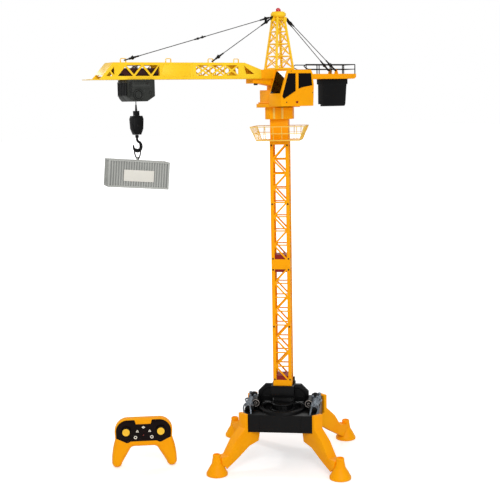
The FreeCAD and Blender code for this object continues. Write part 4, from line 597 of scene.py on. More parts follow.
def makeDeckRings():
    bm = bmesh.new()
    for sign in (-1, 1):
        addTurned(bm, deckRing["ring"], (0, sign * deckRing["offset"], 0), steps=72)
        drum = (0, sign * deckRing["drumOffset"], 0)
        addTurned(bm, deckRing["cap"], drum, steps=48)
        addTurned(bm, deckRing["foot"], drum, steps=48)
        for angle in deckRing["ribs"]:
            addBox(bm, *deckRing["rib"], Matrix.Translation(place(*drum)) @ turned(sign * 90 + angle))
    finishPiece("deckRings", bm, finish["black_plastic"], "base", turn=onBase)


# cast look machinery along both sides of the deck, drawn on the right and mirrored
machine = {
    "barrel": (93.5, 169.5), "barrelEnds": (-70.0, -8.0), "finPitch": 4.1, "finRadius": 10.6,
    "coreRadius": 8.2, "fin": (1.5, 2.0, 3.5, 4.0),
    "nose": ((0, -3), (4.6, -3), (5.4, -2), (5.4, 0)), "tail": ((6, 0), (6, 3), (0, 3)),
    "pistons": ((98, 0), (84, 3), (101, 36)), "pistonTop": 182.0,
    "pistonBody": ((0, 160), (5, 160), (5, 172), (4, 173), (4, 176), (4.8, 176.6)),
    "pipes": (((98, -58, 176), (105, -70, 175), (107, -82, 167), (103, -92, 157), (100, -94, 152)),
              ((88, -62, 176), (88, -78, 175), (85, -90, 164), (83, -95, 152)),
              ((103, -40, 174), (109, -30, 176), (110, -10, 172), (108, 14, 168), (103, 30, 160)),
              ((82, -10, 172), (78, 2, 178), (82, 14, 176), (86, 20, 168))),
    "pipeRadius": 2.3, "pipeNut": ((0, -1.6), (3.5, -1.6), (3.8, 0), (3.5, 1.6), (0, 1.6)),
    "plates": ((80, 8, 102, 40, 173.2), (82, -73, 103, -66, 166)), "plateFoot": 156.0, "plateEdge": 0.9,
    "bolt": (1.7, 0.5, 1.8), "boltInset": 3.0,
    "dial": (76, -44.2, 171), "dialRadius": 9.6}


def bothSides(bm):
    half = bm.verts[:] + bm.edges[:] + bm.faces[:]
    copy = bmesh.ops.duplicate(bm, geom=half)["geom"]
    bmesh.ops.scale(bm, vec=(-1, 1, 1), verts=[v for v in copy if isinstance(v, bmesh.types.BMVert)])


def addBarrel(bm):
    x, z = machine["barrel"]
    low, high = machine["barrelEnds"]
    core, fin = machine["coreRadius"], machine["finRadius"]
    rise, edge, fall, end = machine["fin"]
    profile = [(r, low + h) for r, h in machine["nose"]]
    fins = int((high - low) / machine["finPitch"])
    for k in range(fins):
        foot = low + k * machine["finPitch"]
        profile += [(core, foot), (core, foot + rise), (fin, foot + edge), (fin, foot + fall),
                    (core, foot + end)]
    stop = low + fins * machine["finPitch"]
    profile += [(r, stop + h) for r, h in machine["tail"]]
    addTurned(bm, profile, (x, 0, z), yAxis, steps=28)


def addBoltedPlate(bm, x0, y0, x1, y1, level):
    plate = addBox(bm, (x0, y0, machine["plateFoot"]), (x1, y1, level))
    bmesh.ops.bevel(bm, geom=list({e for v in plate for e in v.link_edges}), offset=machine["plateEdge"] * mm,
                    offset_type="OFFSET", affect="EDGES", segments=2, profile=0.5, material=-1)
    radius, below, above = machine["bolt"]
    inset = machine["boltInset"]
    for bx in (x0 + inset, x1 - inset):
        for by in (y0 + inset, y1 - inset):
            addRod(bm, (bx, by, level - below), (bx, by, level + above), radius, sides=6)


def makeDeckMachines():
    bm = bmesh.new()
    addBarrel(bm)
    top = machine["pistonTop"]
    for px, py in machine["pistons"]:
        addTurned(bm, (*machine["pistonBody"], (4.8, top - 1.6), (3.4, top), (0, top)), (px, py, 0), steps=20)
    for route in machine["pipes"]:
        addBentRod(bm, route, machine["pipeRadius"])
        for spot in (route[0], route[-1]):
            addTurned(bm, machine["pipeNut"], spot, steps=12)
    for plate in machine["plates"]:
        addBoltedPlate(bm, *plate)
    bothSides(bm)
    finishPiece("deckMachinery", bm, finish["gunmetal_plastic"], "base", turn=onBase)

    bm = bmesh.new()
    r = machine["dialRadius"]
    addTurned(bm, ((0, -3), (r + 1.6, -3), (r + 1.8, -1.4), (r + 1.4, 0.6), (r, 1.2), (r - 2, 0.4),
                   (r - 3, -0.6), (4, -0.6), (3.4, 1.8), (1.4, 2.4), (0, 2.2)), machine["dial"], -yAxis)
    bothSides(bm)
    finishPiece("machineDials", bm, finish["black_plastic"], "base", turn=onBase)

    bm = bmesh.new()
    x, y, z = machine["dial"]
    addTorus(bm, (x, y - 0.9, z), r + 0.2, 0.9, yAxis, sides=8)
    addTorus(bm, (x, y - 1.6, z), 3.2, 0.8, yAxis, steps=20, sides=8)
    addRod(bm, (x, y + 0.4, z), (x - 5, y + 0.2, z - 4.4), 0.7, sides=8)
    bothSides(bm)
    finishPiece("dialRims", bm, rimPale, "base", turn=onBase)


# ribbed webs that fill the bends of the pedestal's braces
webs = {"plates": (-4.6, -1.2, 2.2), "thick": 2.4, "tie": ((40, -5.4, 178), (56, 5.4, 182)), "edge": 0.4,
        "outline": ((32, 166), (62.6, 166), (62.6, 189.4), (47.4, 204.4), (32, 204.4))}


def makeWebs():
    bm = bmesh.new()
    for low in webs["plates"]:
        addPrism(bm, webs["outline"], "y", low, low + webs["thick"])
    addBox(bm, *webs["tie"])
    bothSides(bm)
    roundEdges(bm, webs["edge"], segments=1)
    finishPiece("braceWebs", bm, finish["black_plastic"], "base", turn=onBase)


# fluted knobs on top of the machinery
knobShape = {"spot": (90.0, 24.0, 171.0), "flutes": 12, "fluted": (3.0, 10.0), "fluteDepth": 0.88, "profile": (
    (0, 0), (7.4, 0), (7.4, 2.2), (9.6, 2.6), (10.5, 3.6), (10.5, 9.2), (9.7, 10.4), (8, 10.8), (7, 12.2),
    (5.6, 13), (4.2, 12.8), (3.2, 11.4), (0, 11.2))}


def makeKnobs():
    bm = bmesh.new()
    steps = knobShape["flutes"] * 4
    low, high = knobShape["fluted"]
    addTurned(bm, knobShape["profile"], (0, 0, 0), steps=steps)
    for vert in bm.verts:
        angle = math.atan2(vert.co.y, vert.co.x) / (2 * math.pi) * steps
        if low * mm < vert.co.z < high * mm and round(angle) % 4 == 0:
            vert.co.xy *= knobShape["fluteDepth"]
    bmesh.ops.translate(bm, verts=bm.verts, vec=place(*knobShape["spot"]))
    bothSides(bm)
    finishPiece("gripKnobs", bm, finish["black_plastic"], "base", ("deck_knobs",),
                turn=onBase)


# screws: domed heads with a cross recess, cut by two crossing slots
screwHead = {"radius": 2.5, "height": 1.0, "slot": 0.32, "reach": 1.5}


def addScrew(bm, spot, axis, scale=1.0, shank=0.0):
    r, h = screwHead["radius"] * scale, screwHead["height"] * scale
    profile = [(0, 0.35 * h), (0.16 * r, 0.4 * h), (0.3 * r, 0.97 * h), (0.55 * r, h), (0.84 * r, 0.72 * h),
               (r, 0.2 * h), (r, 0)]
    profile += [(0.4 * r, 0), (0.4 * r, -shank), (0, -shank)] if shank else [(0, 0)]
    addTurned(bm, profile, spot, axis, steps=20)
    axis = Vector(axis).normalized()
    frameTurn = Matrix.Translation(place(*spot)) @ axis.to_track_quat("Z", "Y").to_matrix().to_4x4()
    for angle in (45, 135):
        reach, wide = screwHead["reach"] * scale, screwHead["slot"] * scale
        addBox(bm, (-reach, -wide, 0.3 * h), (reach, wide, 0.93 * h), frameTurn @ turned(angle))


mastScrews = {"spread": 21.8, "face": -26.55, "shank": 12.0,
              "levels": (236.5, 391.0, 555.0, 586.5, 741.0, 905.0)}


def makeMastScrews():
    bm = bmesh.new()
    for z in mastScrews["levels"]:
        for sign in (-1, 1):
            spot = (sign * mastScrews["spread"], mastScrews["face"], z)
            addScrew(bm, spot, -yAxis, shank=mastScrews["shank"])
    finishPiece("mastScrewHeads", bm, finish["screw_black"], "base", ("mast_screws",),
                turn=onBase)


# eight sided skirt round the slewing gear, open at the top, with ribs on its front and rear, given a paler
# yellow as a painted highlight
collar = {"half": 38.0, "cut": 13.8, "low": 977.0, "high": 1009.0, "wall": 2.5, "rib": (11.5, 2.9, 1.6)}


def makeCollar():
    half, cut, low, high = collar["half"], collar["cut"], collar["low"], collar["high"]
    bm = bmesh.new()
    flat = half - cut
    outline = [(-flat, -half), (flat, -half), (half, -flat), (half, flat), (flat, half), (-flat, half),
               (-half, flat), (-half, -flat)]
    addPrism(bm, outline, "z", low, high)
    bmesh.ops.recalc_face_normals(bm, faces=bm.faces)
    rim = (high - 0.1) * mm
    top = [f for f in bm.faces if f.calc_center_median().z > rim]
    bmesh.ops.inset_region(bm, faces=top, thickness=collar["wall"] * mm, depth=0)
    lid = max((f for f in bm.faces if f.calc_center_median().z > rim), key=lambda f: f.calc_area())
    sunk = bmesh.ops.extrude_face_region(bm, geom=[lid])
    bmesh.ops.translate(bm, verts=[v for v in sunk["geom"] if isinstance(v, bmesh.types.BMVert)],
                        vec=place(0, 0, low - high + collar["wall"]))
    bmesh.ops.delete(bm, geom=[lid], context="FACES_ONLY")
    roundEdges(bm, 0.9, segments=2)
    x, w, proud = collar["rib"]
    ribs = bmesh.new()
    for turn in (0, 180):
        for sign in (-1, 1):
            middle = sign * x
            addBox(ribs, (middle - w, -half - proud, low + 1), (middle + w, -half + 1, high), turned(turn))
    roundEdges(ribs, 0.5, segments=2)
    # the ribs take the paler rail yellow: a painted highlight on their rounded faces
    finishPiece("collarRibsPaintedHighlight", ribs, finish["rail_yellow"], "base", turn=onBase)
    finishPiece("collarSkirt", bm, finish["mast_yellow"], "base", ("slew_collar",),
                turn=onBase)


# red dome on the crown
beaconShape = {"base": 1269.0, "profile": (
    (0, 0), (8, 0), (8, 1.6), (7.4, 2.2), (7.4, 3.2), (7.1, 5.2), (6.2, 7.4), (4.6, 9.4), (2.4, 10.6),
    (0, 11))}


def makeBeacon():
    bm = bmesh.new()
    addTurned(bm, beaconShape["profile"], (0, 0, beaconShape["base"]), steps=40)
    finishPiece("beaconDome", bm, finish["beacon_red"], "slew", ("beacon",))


def makeBaseAndMast():
    makeFeet()
    makeDeckRings()
    makeDeckMachines()
    makeWebs()
    makeKnobs()
    makeMastScrews()
    makeCollar()
    makeBeacon()
    print("base, mast and beacon dressed")


makeBaseAndMast()


# trolley winch: stiffening ribs, a raised cover round the drum's end and its screws
winch = {
    "face": 32.0, "drum": (-452.55, 1049.7), "levels": (1046.0, 1082.0),
    "cover": ((0, 2.6), (3, 2.6), (3.6, 2.0), (5, 2.0), (5.6, 2.9), (8.2, 3.0), (8.9, 2.0), (10.7, 2.0),
              (11.2, 3.0), (12.6, 3.0), (13.4, 2.2), (13.4, -0.6), (0, -0.6)),
    "ribs": (-478.6, -475.4, -472.2), "ribWide": 1.5, "ribProud": 0.9,
    "seamWide": 1.7, "seam": (-32.3, -31.6), "slotProud": 0.7,
    "slots": ((-462, -424, 1079.5, 1082.5), (-436, -410, 1058, 1061), (-436, -410, 1064, 1067)),
    "motorPlate": (-463.5, -421, 1037.5, 1062.5), "plateProud": 0.5,
    "motorEnd": (-481.4, -480.6, 26), "endRibs": (-22, -13, -4, 5, 14, 23), "endRib": (-482.2, 1.0),
    "grooves": (((8.9, 10.7), 2.2), ((13.5, 14.5), 0.9)), "grooveDeep": 0.6,
    "screws": ((-426, 1077), (-474, 1077), (-416, 1044)), "screwScale": 0.8}


def addRelief(bm, sign, x0, x1, z0, z1, proud):
    # a low raised field on the winch's front or rear face
    face = sign * winch["face"]
    addBox(bm, (x0, min(face, face + sign * proud), z0), (x1, max(face, face + sign * proud), z1))


def makeWinchDetails():
    x, z = winch["drum"]
    drum = (x, -winch["face"], z)
    low, high = winch["levels"]
    bm = bmesh.new()
    addTurned(bm, winch["cover"], drum, -yAxis)
    for sign in (-1, 1):
        for rib in winch["ribs"]:
            addRelief(bm, sign, rib, rib + winch["ribWide"], low, high, winch["ribProud"])
        for slot in winch["slots"]:
            addRelief(bm, sign, *slot, winch["slotProud"])
        addRelief(bm, sign, *winch["motorPlate"], winch["plateProud"])
    roundEdges(bm, 0.25, angle=50, segments=1)
    finishPiece("winchRelief", bm, finish["dark_grey_plastic"], "trolley")

    # the motor's end, ribbed, in black as painted shade of that end face, with black strips beside the ribs
    # and round the drum's cover as painted shade in the recesses
    bm = bmesh.new()
    outer, inner, half = winch["motorEnd"]
    addBox(bm, (outer, -half, low + 2), (inner, half, high - 2))
    crest, wide = winch["endRib"]
    for y in winch["endRibs"]:
        addBox(bm, (crest, y - wide, low + 2), (inner, y + wide, high - 2))
    front, back = winch["seam"]
    for rib in winch["ribs"]:
        start = rib + winch["ribWide"]
        addBox(bm, (start, front, low), (start + winch["seamWide"], back, high))
    roundEdges(bm, 0.2, angle=50, segments=1)
    # black rings round the drum's cover: painted shade in its grooves
    for (near, far), level in winch["grooves"]:
        foot = level - winch["grooveDeep"]
        addTurned(bm, ((near, foot), (near, level), (far, level), (far, foot), (near, foot)), drum, -yAxis)
    finishPiece("winchEndPaintedShade", bm, finish["black_plastic"], "trolley")

    bm = bmesh.new()
    for x, z in winch["screws"]:
        addScrew(bm, (x, -winch["face"], z), -yAxis, scale=winch["screwScale"])
    finishPiece("winchScrews", bm, finish["screw_black"], "trolley")


# hoist rope, laid up from three strands
hoistLine = {"x": -444.0, "low": 1003.2, "high": 1049.7, "radius": 1.2, "pitch": 4.2}


def makeHoistRope():
    ends = [(hoistLine["x"], 0, hoistLine[end]) for end in ("low", "high")]
    bm = bmesh.new()
    addTwistedLine(bm, *ends, hoistLine["radius"], hoistLine["pitch"])
    rope = finishPiece("hoistRopeLaid", bm, finish["line_grey"], None, ("hoist_rope",),
                       smooth=60)
    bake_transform(rope)


# hook block cheeks carry an axle, then the cast hook under its swivel nut
castHook = {"centre": (-444.0, 0.0, 916.6), "wire": 3.1, "path": (
    (0, 31, 0.95), (0, 24, 0.95), (0, 18, 1.0), (2.6, 14.4, 1.05), (7.6, 12, 1.15), (10.4, 7, 1.28),
    (10.9, 0, 1.38), (8.4, -6.3, 1.4), (3.5, -9.6, 1.36), (-2, -10, 1.26), (-7.2, -7.6, 1.1),
    (-10.1, -2.9, 0.92), (-10.9, 2, 0.74),
    (-10.3, 6.2, 0.46)),
    "nut": ((0, 940.6), (3.6, 940.6), (4.4, 941.4), (4.4, 947.0), (3.6, 947.8), (0, 947.8)),
    "nutRims": (941.2, 947.2), "nutRim": (4.3, 0.35), "axle": (971.5, 8.1),
    "axleHead": ((0, 1.3), (1.2, 1.25), (2.6, 0.9), (3.4, 0.1), (3.4, -0.4), (0, -0.4))}


def makeHook():
    x, y, z = castHook["centre"]
    bm = bmesh.new()
    level, reach = castHook["axle"]
    for sign in (-1, 1):
        addTurned(bm, castHook["axleHead"], (x, sign * reach, level), yAxis * sign, steps=24)
    finishPiece("blockAxle", bm, clipBlack, "block")

    bm = bmesh.new()
    route = [(x + u, y, z + v) for u, v, w in castHook["path"]]
    addBentRod(bm, route, castHook["wire"], swell=[w for u, v, w in castHook["path"]], sides=5)
    addTurned(bm, castHook["nut"], (x, y, 0), steps=24)
    for level in castHook["nutRims"]:
        addTorus(bm, (x, y, level), *castHook["nutRim"], steps=24, sides=6)
    finishPiece("castHook", bm, finish["black_plastic"], "hook", ("hook",), smooth=50)


# heart of wire from the hook to the lug on the load
loadPivot = (-444.0, 0.0, 910.55)
wireHeart = {"radius": 1.7, "turn": -50.0, "half": (
    (0, 0), (2.6, 1), (5.2, 1.9), (7.6, 1), (8.6, -2), (8.5, -7), (7.6, -11.5), (5.7, -17.4), (3.7, -21.3),
    (2.4, -23.2))}


def makeWireHeart():
    bm = bmesh.new()
    right = [(u, 0, v) for u, v in wireHeart["half"]]
    left = [(-u, 0, v) for u, v in reversed(wireHeart["half"][1:])]
    stand = Matrix.Translation(place(*loadPivot)) @ turned(wireHeart["turn"])
    addBentRod(bm, right + left, wireHeart["radius"], closed=True, sides=4, matrix=stand)
    finishPiece("wireHeart", bm, clipBlack, "load", ("load_link",), smooth=60)


# freight container, drawn square under the jib and then hung a little askew
freight = {
    "x": (-521.55, -363.55), "half": 32.0, "z": (813.25, 883.25), "lean": 5.0, "turn": -16.0,
    "ribs": 22, "pitch": 6.545, "firstRib": 7.0, "flare": 0.9, "draw": 0.3, "endRibs": 9, "endPitch": 6.3,
    "roofPad": 13.0, "post": 5.2, "rail": 3.4, "railHigh": (4.8, 4.0), "casting": (6.1, 5.5, 5.0),
    "door": 5.6, "doorLevels": (5.2, 4.4), "rod": 0.75, "rodAt": (0.3, 0.7), "hinge": (1.5, 2.2),
    "label": (-39, 39, 17, 46),
    "lug": {"eye": -23.2, "wide": 6.2, "top": -18.6, "half": 1.4, "ring": (2.6, 1.0)}}
# darker grey of the panel between the ribs: painted shade in the grooves
containerGrooveShade = moulded("containerGrooveShade", linear(150, 151, 149), linear(132, 133, 131), 0.6, grain=0.9,
                          edge=0.1, dust=0.02, specular=0.2)


def hungMatrix():
    return turned(freight["turn"], "Z", loadPivot) @ turned(freight["lean"], "Y", loadPivot)


def finishFreight(name, bm, material=None, replaces=()):
    finishPiece(name, bm, material or finish["container_grey"], "load", replaces,
                turn=hungMatrix())


def makeFreightRibs():
    x0 = freight["x"][0]
    low, high = freight["z"]
    half, flare, draw = freight["half"], freight["flare"], freight["draw"]
    bm = bmesh.new()
    first = x0 + freight["firstRib"] + 0.25 * freight["pitch"]
    wide = freight["pitch"] * 0.5
    for k in range(freight["ribs"]):
        u = first + k * freight["pitch"]
        for sign in (-1, 1):
            inner, outer = sign * (half - 3.2), sign * (half - 0.5)
            outline = [(u - flare, inner), (u + wide + flare, inner), (u + wide - draw, outer),
                       (u + draw, outer)]
            addPrism(bm, outline, "z", low + 4.6, high - 3.6)
        foot, crest = high - 1.8, high - 0.4
        outline = [(u - flare, foot), (u + wide + flare, foot), (u + wide - draw, crest), (u + draw, crest)]
        if abs(u + wide / 2 - loadPivot[0]) > freight["roofPad"]:
            addPrism(bm, outline, "y", -half + 5, half - 5)
    for k in range(freight["endRibs"]):                  # the closed end, ribbed the same way
        v = -half + 5.2 + k * freight["endPitch"]
        outline = [(x0 + 3.2, v - 0.8), (x0 + 0.6, v + 0.4), (x0 + 0.6, v + 3.2), (x0 + 3.2, v + 4.4)]
        addPrism(bm, outline, "z", low + 4.6, high - 3.6)
    finishFreight("freightRibs", bm)


def makeFreightFrame():
    x0, x1 = freight["x"]
    low, high = freight["z"]
    half, post, rail = freight["half"], freight["post"], freight["rail"]
    under, over = freight["railHigh"]
    bm = bmesh.new()
    for u in (x0, x1 - post):
        for v in (-half, half - post):
            addBox(bm, (u, v, low), (u + post, v + post, high))
    for v in (-half, half - rail):
        addBox(bm, (x0 + 1, v, low), (x1 - 1, v + rail, low + under))
        addBox(bm, (x0 + 1, v, high - over), (x1 - 1, v + rail, high))
    for u in (x0, x1 - rail):
        addBox(bm, (u, -half + 1, low), (u + rail, half - 1, low + under))
        addBox(bm, (u, -half + 1, high - over), (u + rail, half - 1, high))
    addBox(bm, (x0 + 2, -half + 2, low + 0.8), (x1 - 2, half - 2, low + 3))
    addBox(bm, (loadPivot[0] - 10, -12, high - 1.8), (loadPivot[0] + 10, 12, high + 0.9))
    long, wide, tall = freight["casting"]
    for u in (x0 - 0.1, x1 - 6.0):
        for v in (-half - 0.1, half - 5.4):
            for z in (low - 0.1, high - 4.9):
                addBox(bm, (u, v, z), (u + long, v + wide, z + tall))
    roundEdges(bm, 0.7, segments=2)
    finishFreight("freightFrame", bm, replaces=("container",))


def makeFreightDoors():
    # two leaves with their lock rods and hinges
    x1 = freight["x"][1]
    low, high = freight["z"]
    under, over = freight["doorLevels"]
    far = freight["half"] - freight["door"]
    reach, tall = freight["hinge"]
    bm = bmesh.new()
    foot, head = low + under + 0.4, high - over - 0.4
    for v0, v1 in ((-far, -0.4), (0.4, far)):
        addBox(bm, (x1 - 3.4, v0, low + under), (x1 - 1.2, v1, high - over))
        for share in freight["rodAt"]:
            v = v0 + (v1 - v0) * share
            addRod(bm, (x1 - 0.8, v, foot), (x1 - 0.8, v, head), freight["rod"], sides=10)
            for z in (low + 12, low + 34, high - 12):
                addBox(bm, (x1 - 1.4, v - reach, z), (x1 - 0.2, v + reach, z + tall))
    roundEdges(bm, 0.3, angle=50, segments=1)
    finishFreight("freightDoors", bm)


def makeFreightLug():
    # the lug keeps its eye for the wire
    lug = freight["lug"]
    wide, top, foot = lug["wide"], lug["top"], freight["z"][1] - loadPivot[2] - 0.5
    bm = bmesh.new()
    outline = [(-wide, foot), (wide, foot), (3.8, top - 1.2), (2.4, top), (-2.4, top), (-3.8, top - 1.2)]
    stand = Matrix.Translation(place(*loadPivot)) @ turned(wireHeart["turn"] + 90)
    bmesh.ops.transform(bm, matrix=stand, verts=addPrism(bm, outline, "y", -lug["half"], lug["half"]))
    angle = math.radians(wireHeart["turn"])
    x, y, z = loadPivot
    addTorus(bm, (x, y, z + lug["eye"]), *lug["ring"], (math.cos(angle), math.sin(angle), 0), steps=24)
    roundEdges(bm, 0.4, angle=50, segments=1)
    finishPiece("freightLug", bm, finish["container_grey"], "load")


def makeFreight():
    x0, x1 = freight["x"]
    low, high = freight["z"]
    half = freight["half"]
    bm = bmesh.new()
    addBox(bm, (x0 + 3, -half + 3, low + 2.5), (x1 - 3, half - 3, high - 1.6))
    # the panel behind the ribs in darker grey, as painted groove shade
    finishFreight("freightPanels", bm, containerGrooveShade)
    makeFreightRibs()
    makeFreightFrame()
    makeFreightDoors()

    bm = bmesh.new()
    u0, u1, z0, z1 = freight["label"]
    middle = (x0 + x1) / 2
    for front, back in ((-half - 0.1, -half + 0.9), (half - 0.9, half + 0.1)):
        addBox(bm, (middle + u0, front, low + z0), (middle + u1, back, low + z1))
    roundEdges(bm, 0.4, segments=2)
    finishFreight("freightLabels", bm, labelPale)
    makeFreightLug()


# pendant lines: start on the tower, end on the jib or the rear deck, and whether the start has a snap hook
pendants = (((-27.9, 0, 1253.5), (-463.6, 0, 1138.8), True), ((-27.9, 0, 1248.5), (-207.6, 0, 1138.8), True),
            ((25.5, -3.4, 1251), (177.6, -15, 1115), False), ((25.5, 3.4, 1251), (177.6, 15, 1115), False))
pendantLay = {"radius": 1.15, "pitch": 7.0, "stepsPerTurn": 6}
snap = {
    "barrel": ((0, 4), (1.9, 4), (2.8, 5), (2.8, 11.6), (4.4, 12.2), (4.8, 13.4), (4.8, 16), (4.4, 17.2),
               (2.7, 17.8), (2.5, 24), (2.1, 25), (2.1, 33), (1.4, 34.4), (0, 34.4)),
    "sleeve": ((0, -1), (2.4, -1), (3.0, 0.2), (3.0, 5), (2.2, 6.4), (2.2, 13), (3.2, 14), (3.2, 20),
               (2.4, 21.4), (2.0, 30), (1.2, 32), (0, 32)),
    "link": ((0, 0), (1.3, 0), (1.9, 1.6), (1.9, 8), (3.1, 9), (3.1, 13), (1.7, 14), (1.7, 22), (3.1, 23),
             (3.1, 27), (1.9, 28), (1.9, 34.4), (1.3, 36), (0, 36)),
    "linkAt": 0.47, "wire": 1.5, "lever": (14.5, 2.6, 3.2, 2.4),
    "spread": {"start": 3.6, "jib": 2.7, "deck": 3.4}}


def addSnapHook(bm, end, along, spread):
    # a bent wire eye that goes round the lug, its barrel on the line and the catch's lever
    near = spread * 0.7
    eye = [(-1.0, spread), (-4.6, spread), (-8.2, near), (-9.4, 0), (-8.2, -near), (-4.6, -spread),
           (-1.0, -spread), (3.4, -1.1), (4.6, 0), (3.4, 1.1)]
    side = Vector((0, 1, 0))
    points = [tuple(Vector(end) + along * a + side * b) for a, b in eye]
    addBentRod(bm, points, snap["wire"], closed=True, sides=3)
    addTurned(bm, snap["barrel"], end, along, steps=16)
    up = along.cross(side).normalized()
    up = up if up.z > 0 else -up
    out, clear, tall, lean = snap["lever"]
    foot = Vector(end) + along * out + up * clear
    addRod(bm, tuple(foot), tuple(foot + up * tall + along * lean), 1.3, 0.9, sides=10)


def makePendants():
    lines = bmesh.new()
    clips = bmesh.new()
    for number, (start, end, hooked) in enumerate(pendants):
        addTwistedLine(lines, start, end, **pendantLay)
        line = Vector(end) - Vector(start)
        along = line.normalized()
        addSnapHook(clips, end, -along, snap["spread"]["jib" if hooked else "deck"])
        if hooked:
            addSnapHook(clips, start, along, snap["spread"]["start"])
        else:
            addTurned(clips, snap["sleeve"], start, along, steps=16)
        if number == 0:                                  # the long line has a link half way
            at = Vector(start) + along * line.length * snap["linkAt"]
            addTurned(clips, snap["link"], tuple(at), along, steps=16)
            pin = at + along * 11
            addRod(clips, tuple(pin), tuple(pin + Vector((0, 0, 5))), 1.2, 0.8, sides=10)
    finishPiece("pendantLinesLaid", lines, finish["line_grey"], "slew", ("pendant_lines",),
                smooth=60)
    finishPiece("pendantSnapHooks", clips, clipBlack, "slew", ("pendant_clips",), smooth=50)


# cab: screws in its side and a small red handle by the door
cabFixings = {"face": -84.0, "screws": ((-34, 1023, 0.75), (53, 1048, 0.6), (-18, 1106, 0.6)),
              "handle": (-3, 4, 1020, 1026), "grip": (1.2, 1.4)}


def makeCabDetails():
    bm = bmesh.new()
    for x, z, scale in cabFixings["screws"]:
        addScrew(bm, (x, cabFixings["face"], z), -yAxis, scale=scale)
    finishPiece("cabScrews", bm, finish["screw_black"], "slew")
    bm = bmesh.new()
    x0, x1, z0, z1 = cabFixings["handle"]
    y = cabFixings["face"]
    addBox(bm, (x0, y - 0.5, z0), (x1, y + 0.2, z1))
    across, up = cabFixings["grip"]
    addBox(bm, (x0 + across, y - 1.6, z0 + up), (x1 - across, y - 0.2, z1 - up))
    roundEdges(bm, 0.3, segments=2)
    finishPiece("cabHandle", bm, finish["red_plastic"], "slew")


# handset: half thickness, mesh cell, the radii of its rims and what stands on its face
pad = {"half": 16.0, "cell": 3.0, "reach": 94, "top": 144, "rings": (0.35, 0.6, 0.9, 1.3),
       "rim": 3.0, "roundGrip": 13.0, "roundBack": 11.0, "gripFrom": (92, 26), "floor": 14.1,
       "border": (6, 3), "sticks": ((-49, 108), (49, 108)), "well": (11, 8.0),
       "seam": (0.5, 0.45, 0.05), "lamp": 95.5,
       "lens": ((0, 1.3), (0.8, 1.2), (1.5, 0.8), (1.9, 0.2), (1.9, -2), (0, -2)),
       "tab": (17, 0.4, 0.9, 130.6, 139.4), "door": (27, 0.4, 0.7, 74, 122), "fingerRibs": (5, 108, 2.4),
       "screws": ((0, 79), (-52, 64), (52, 64), (-40, 132), (40, 132))}
fascia = {"middle": (37, 78.0), "side": (49, 74.0), "rise": 0.5, "top": (28, 128)}


def arcThrough(a, b, c, count):
    # points on the arc from a through b to c
    ax, ay, bx, by, cx, cy = *a, *b, *c
    d = 2 * (ax * (by - cy) + bx * (cy - ay) + cx * (ay - by))
    aa, bb, cc = ax * ax + ay * ay, bx * bx + by * by, cx * cx + cy * cy
    ux = (aa * (by - cy) + bb * (cy - ay) + cc * (ay - by)) / d
    uy = (aa * (cx - bx) + bb * (ax - cx) + cc * (bx - ax)) / d
    r = math.hypot(ax - ux, ay - uy)
    t0, t1, t2 = (math.atan2(p[1] - uy, p[0] - ux) for p in (a, b, c))
    turn = (t2 - t0) % (2 * math.pi)
    if (t1 - t0) % (2 * math.pi) > turn:
        turn -= 2 * math.pi
    angles = [t0 + turn * k / count for k in range(count + 1)]
    return [(ux + r * math.cos(angle), uy + r * math.sin(angle)) for angle in angles]


def padOutline():
    # the right half from the belly round the grip and up to the crown, then its mirror image
    right = [(30, 60), (33.6, 59.2), (36.6, 57.3), (38.8, 54.6)]
    right += arcThrough((63.475, 13), (77.5, 0), (92.35, 14), 16)
    right += arcThrough((92.35, 14), (89.35, 50), (80.5, 84), 14)[1:]
    right += arcThrough((81.5, 104), (73.5, 130), (47, 144), 12)
    return right + [(-x, z) for x, z in reversed(right)]


def nearestEdge(outline, x, z):
    # distance from the outline and the way inwards
    best = (1e9, 0.0, 0.0)
    for (x0, z0), (x1, z1) in zip(outline, outline[1:] + outline[:1]):
        dx, dz = x1 - x0, z1 - z0
        t = max(0.0, min(1.0, ((x - x0) * dx + (z - z0) * dz) / (dx * dx + dz * dz)))
        gap = math.hypot(x - x0 - t * dx, z - z0 - t * dz)
        if gap < best[0]:
            size = math.hypot(dx, dz)
            best = (gap, -dz / size, dx / size)
    return best


def fasciaInset(x, z):
    # how far inside the fascia's lower and upper borders a point lies
    (middle, middleLow), (side, sideLow), (topHalf, top) = fascia["middle"], fascia["side"], fascia["top"]
    across = abs(x)
    low = middleLow if across < middle else sideLow + max(0.0, across - side) * fascia["rise"]
    depth = z - low
    if across < topHalf:
        depth = min(depth, top - z)
    return depth


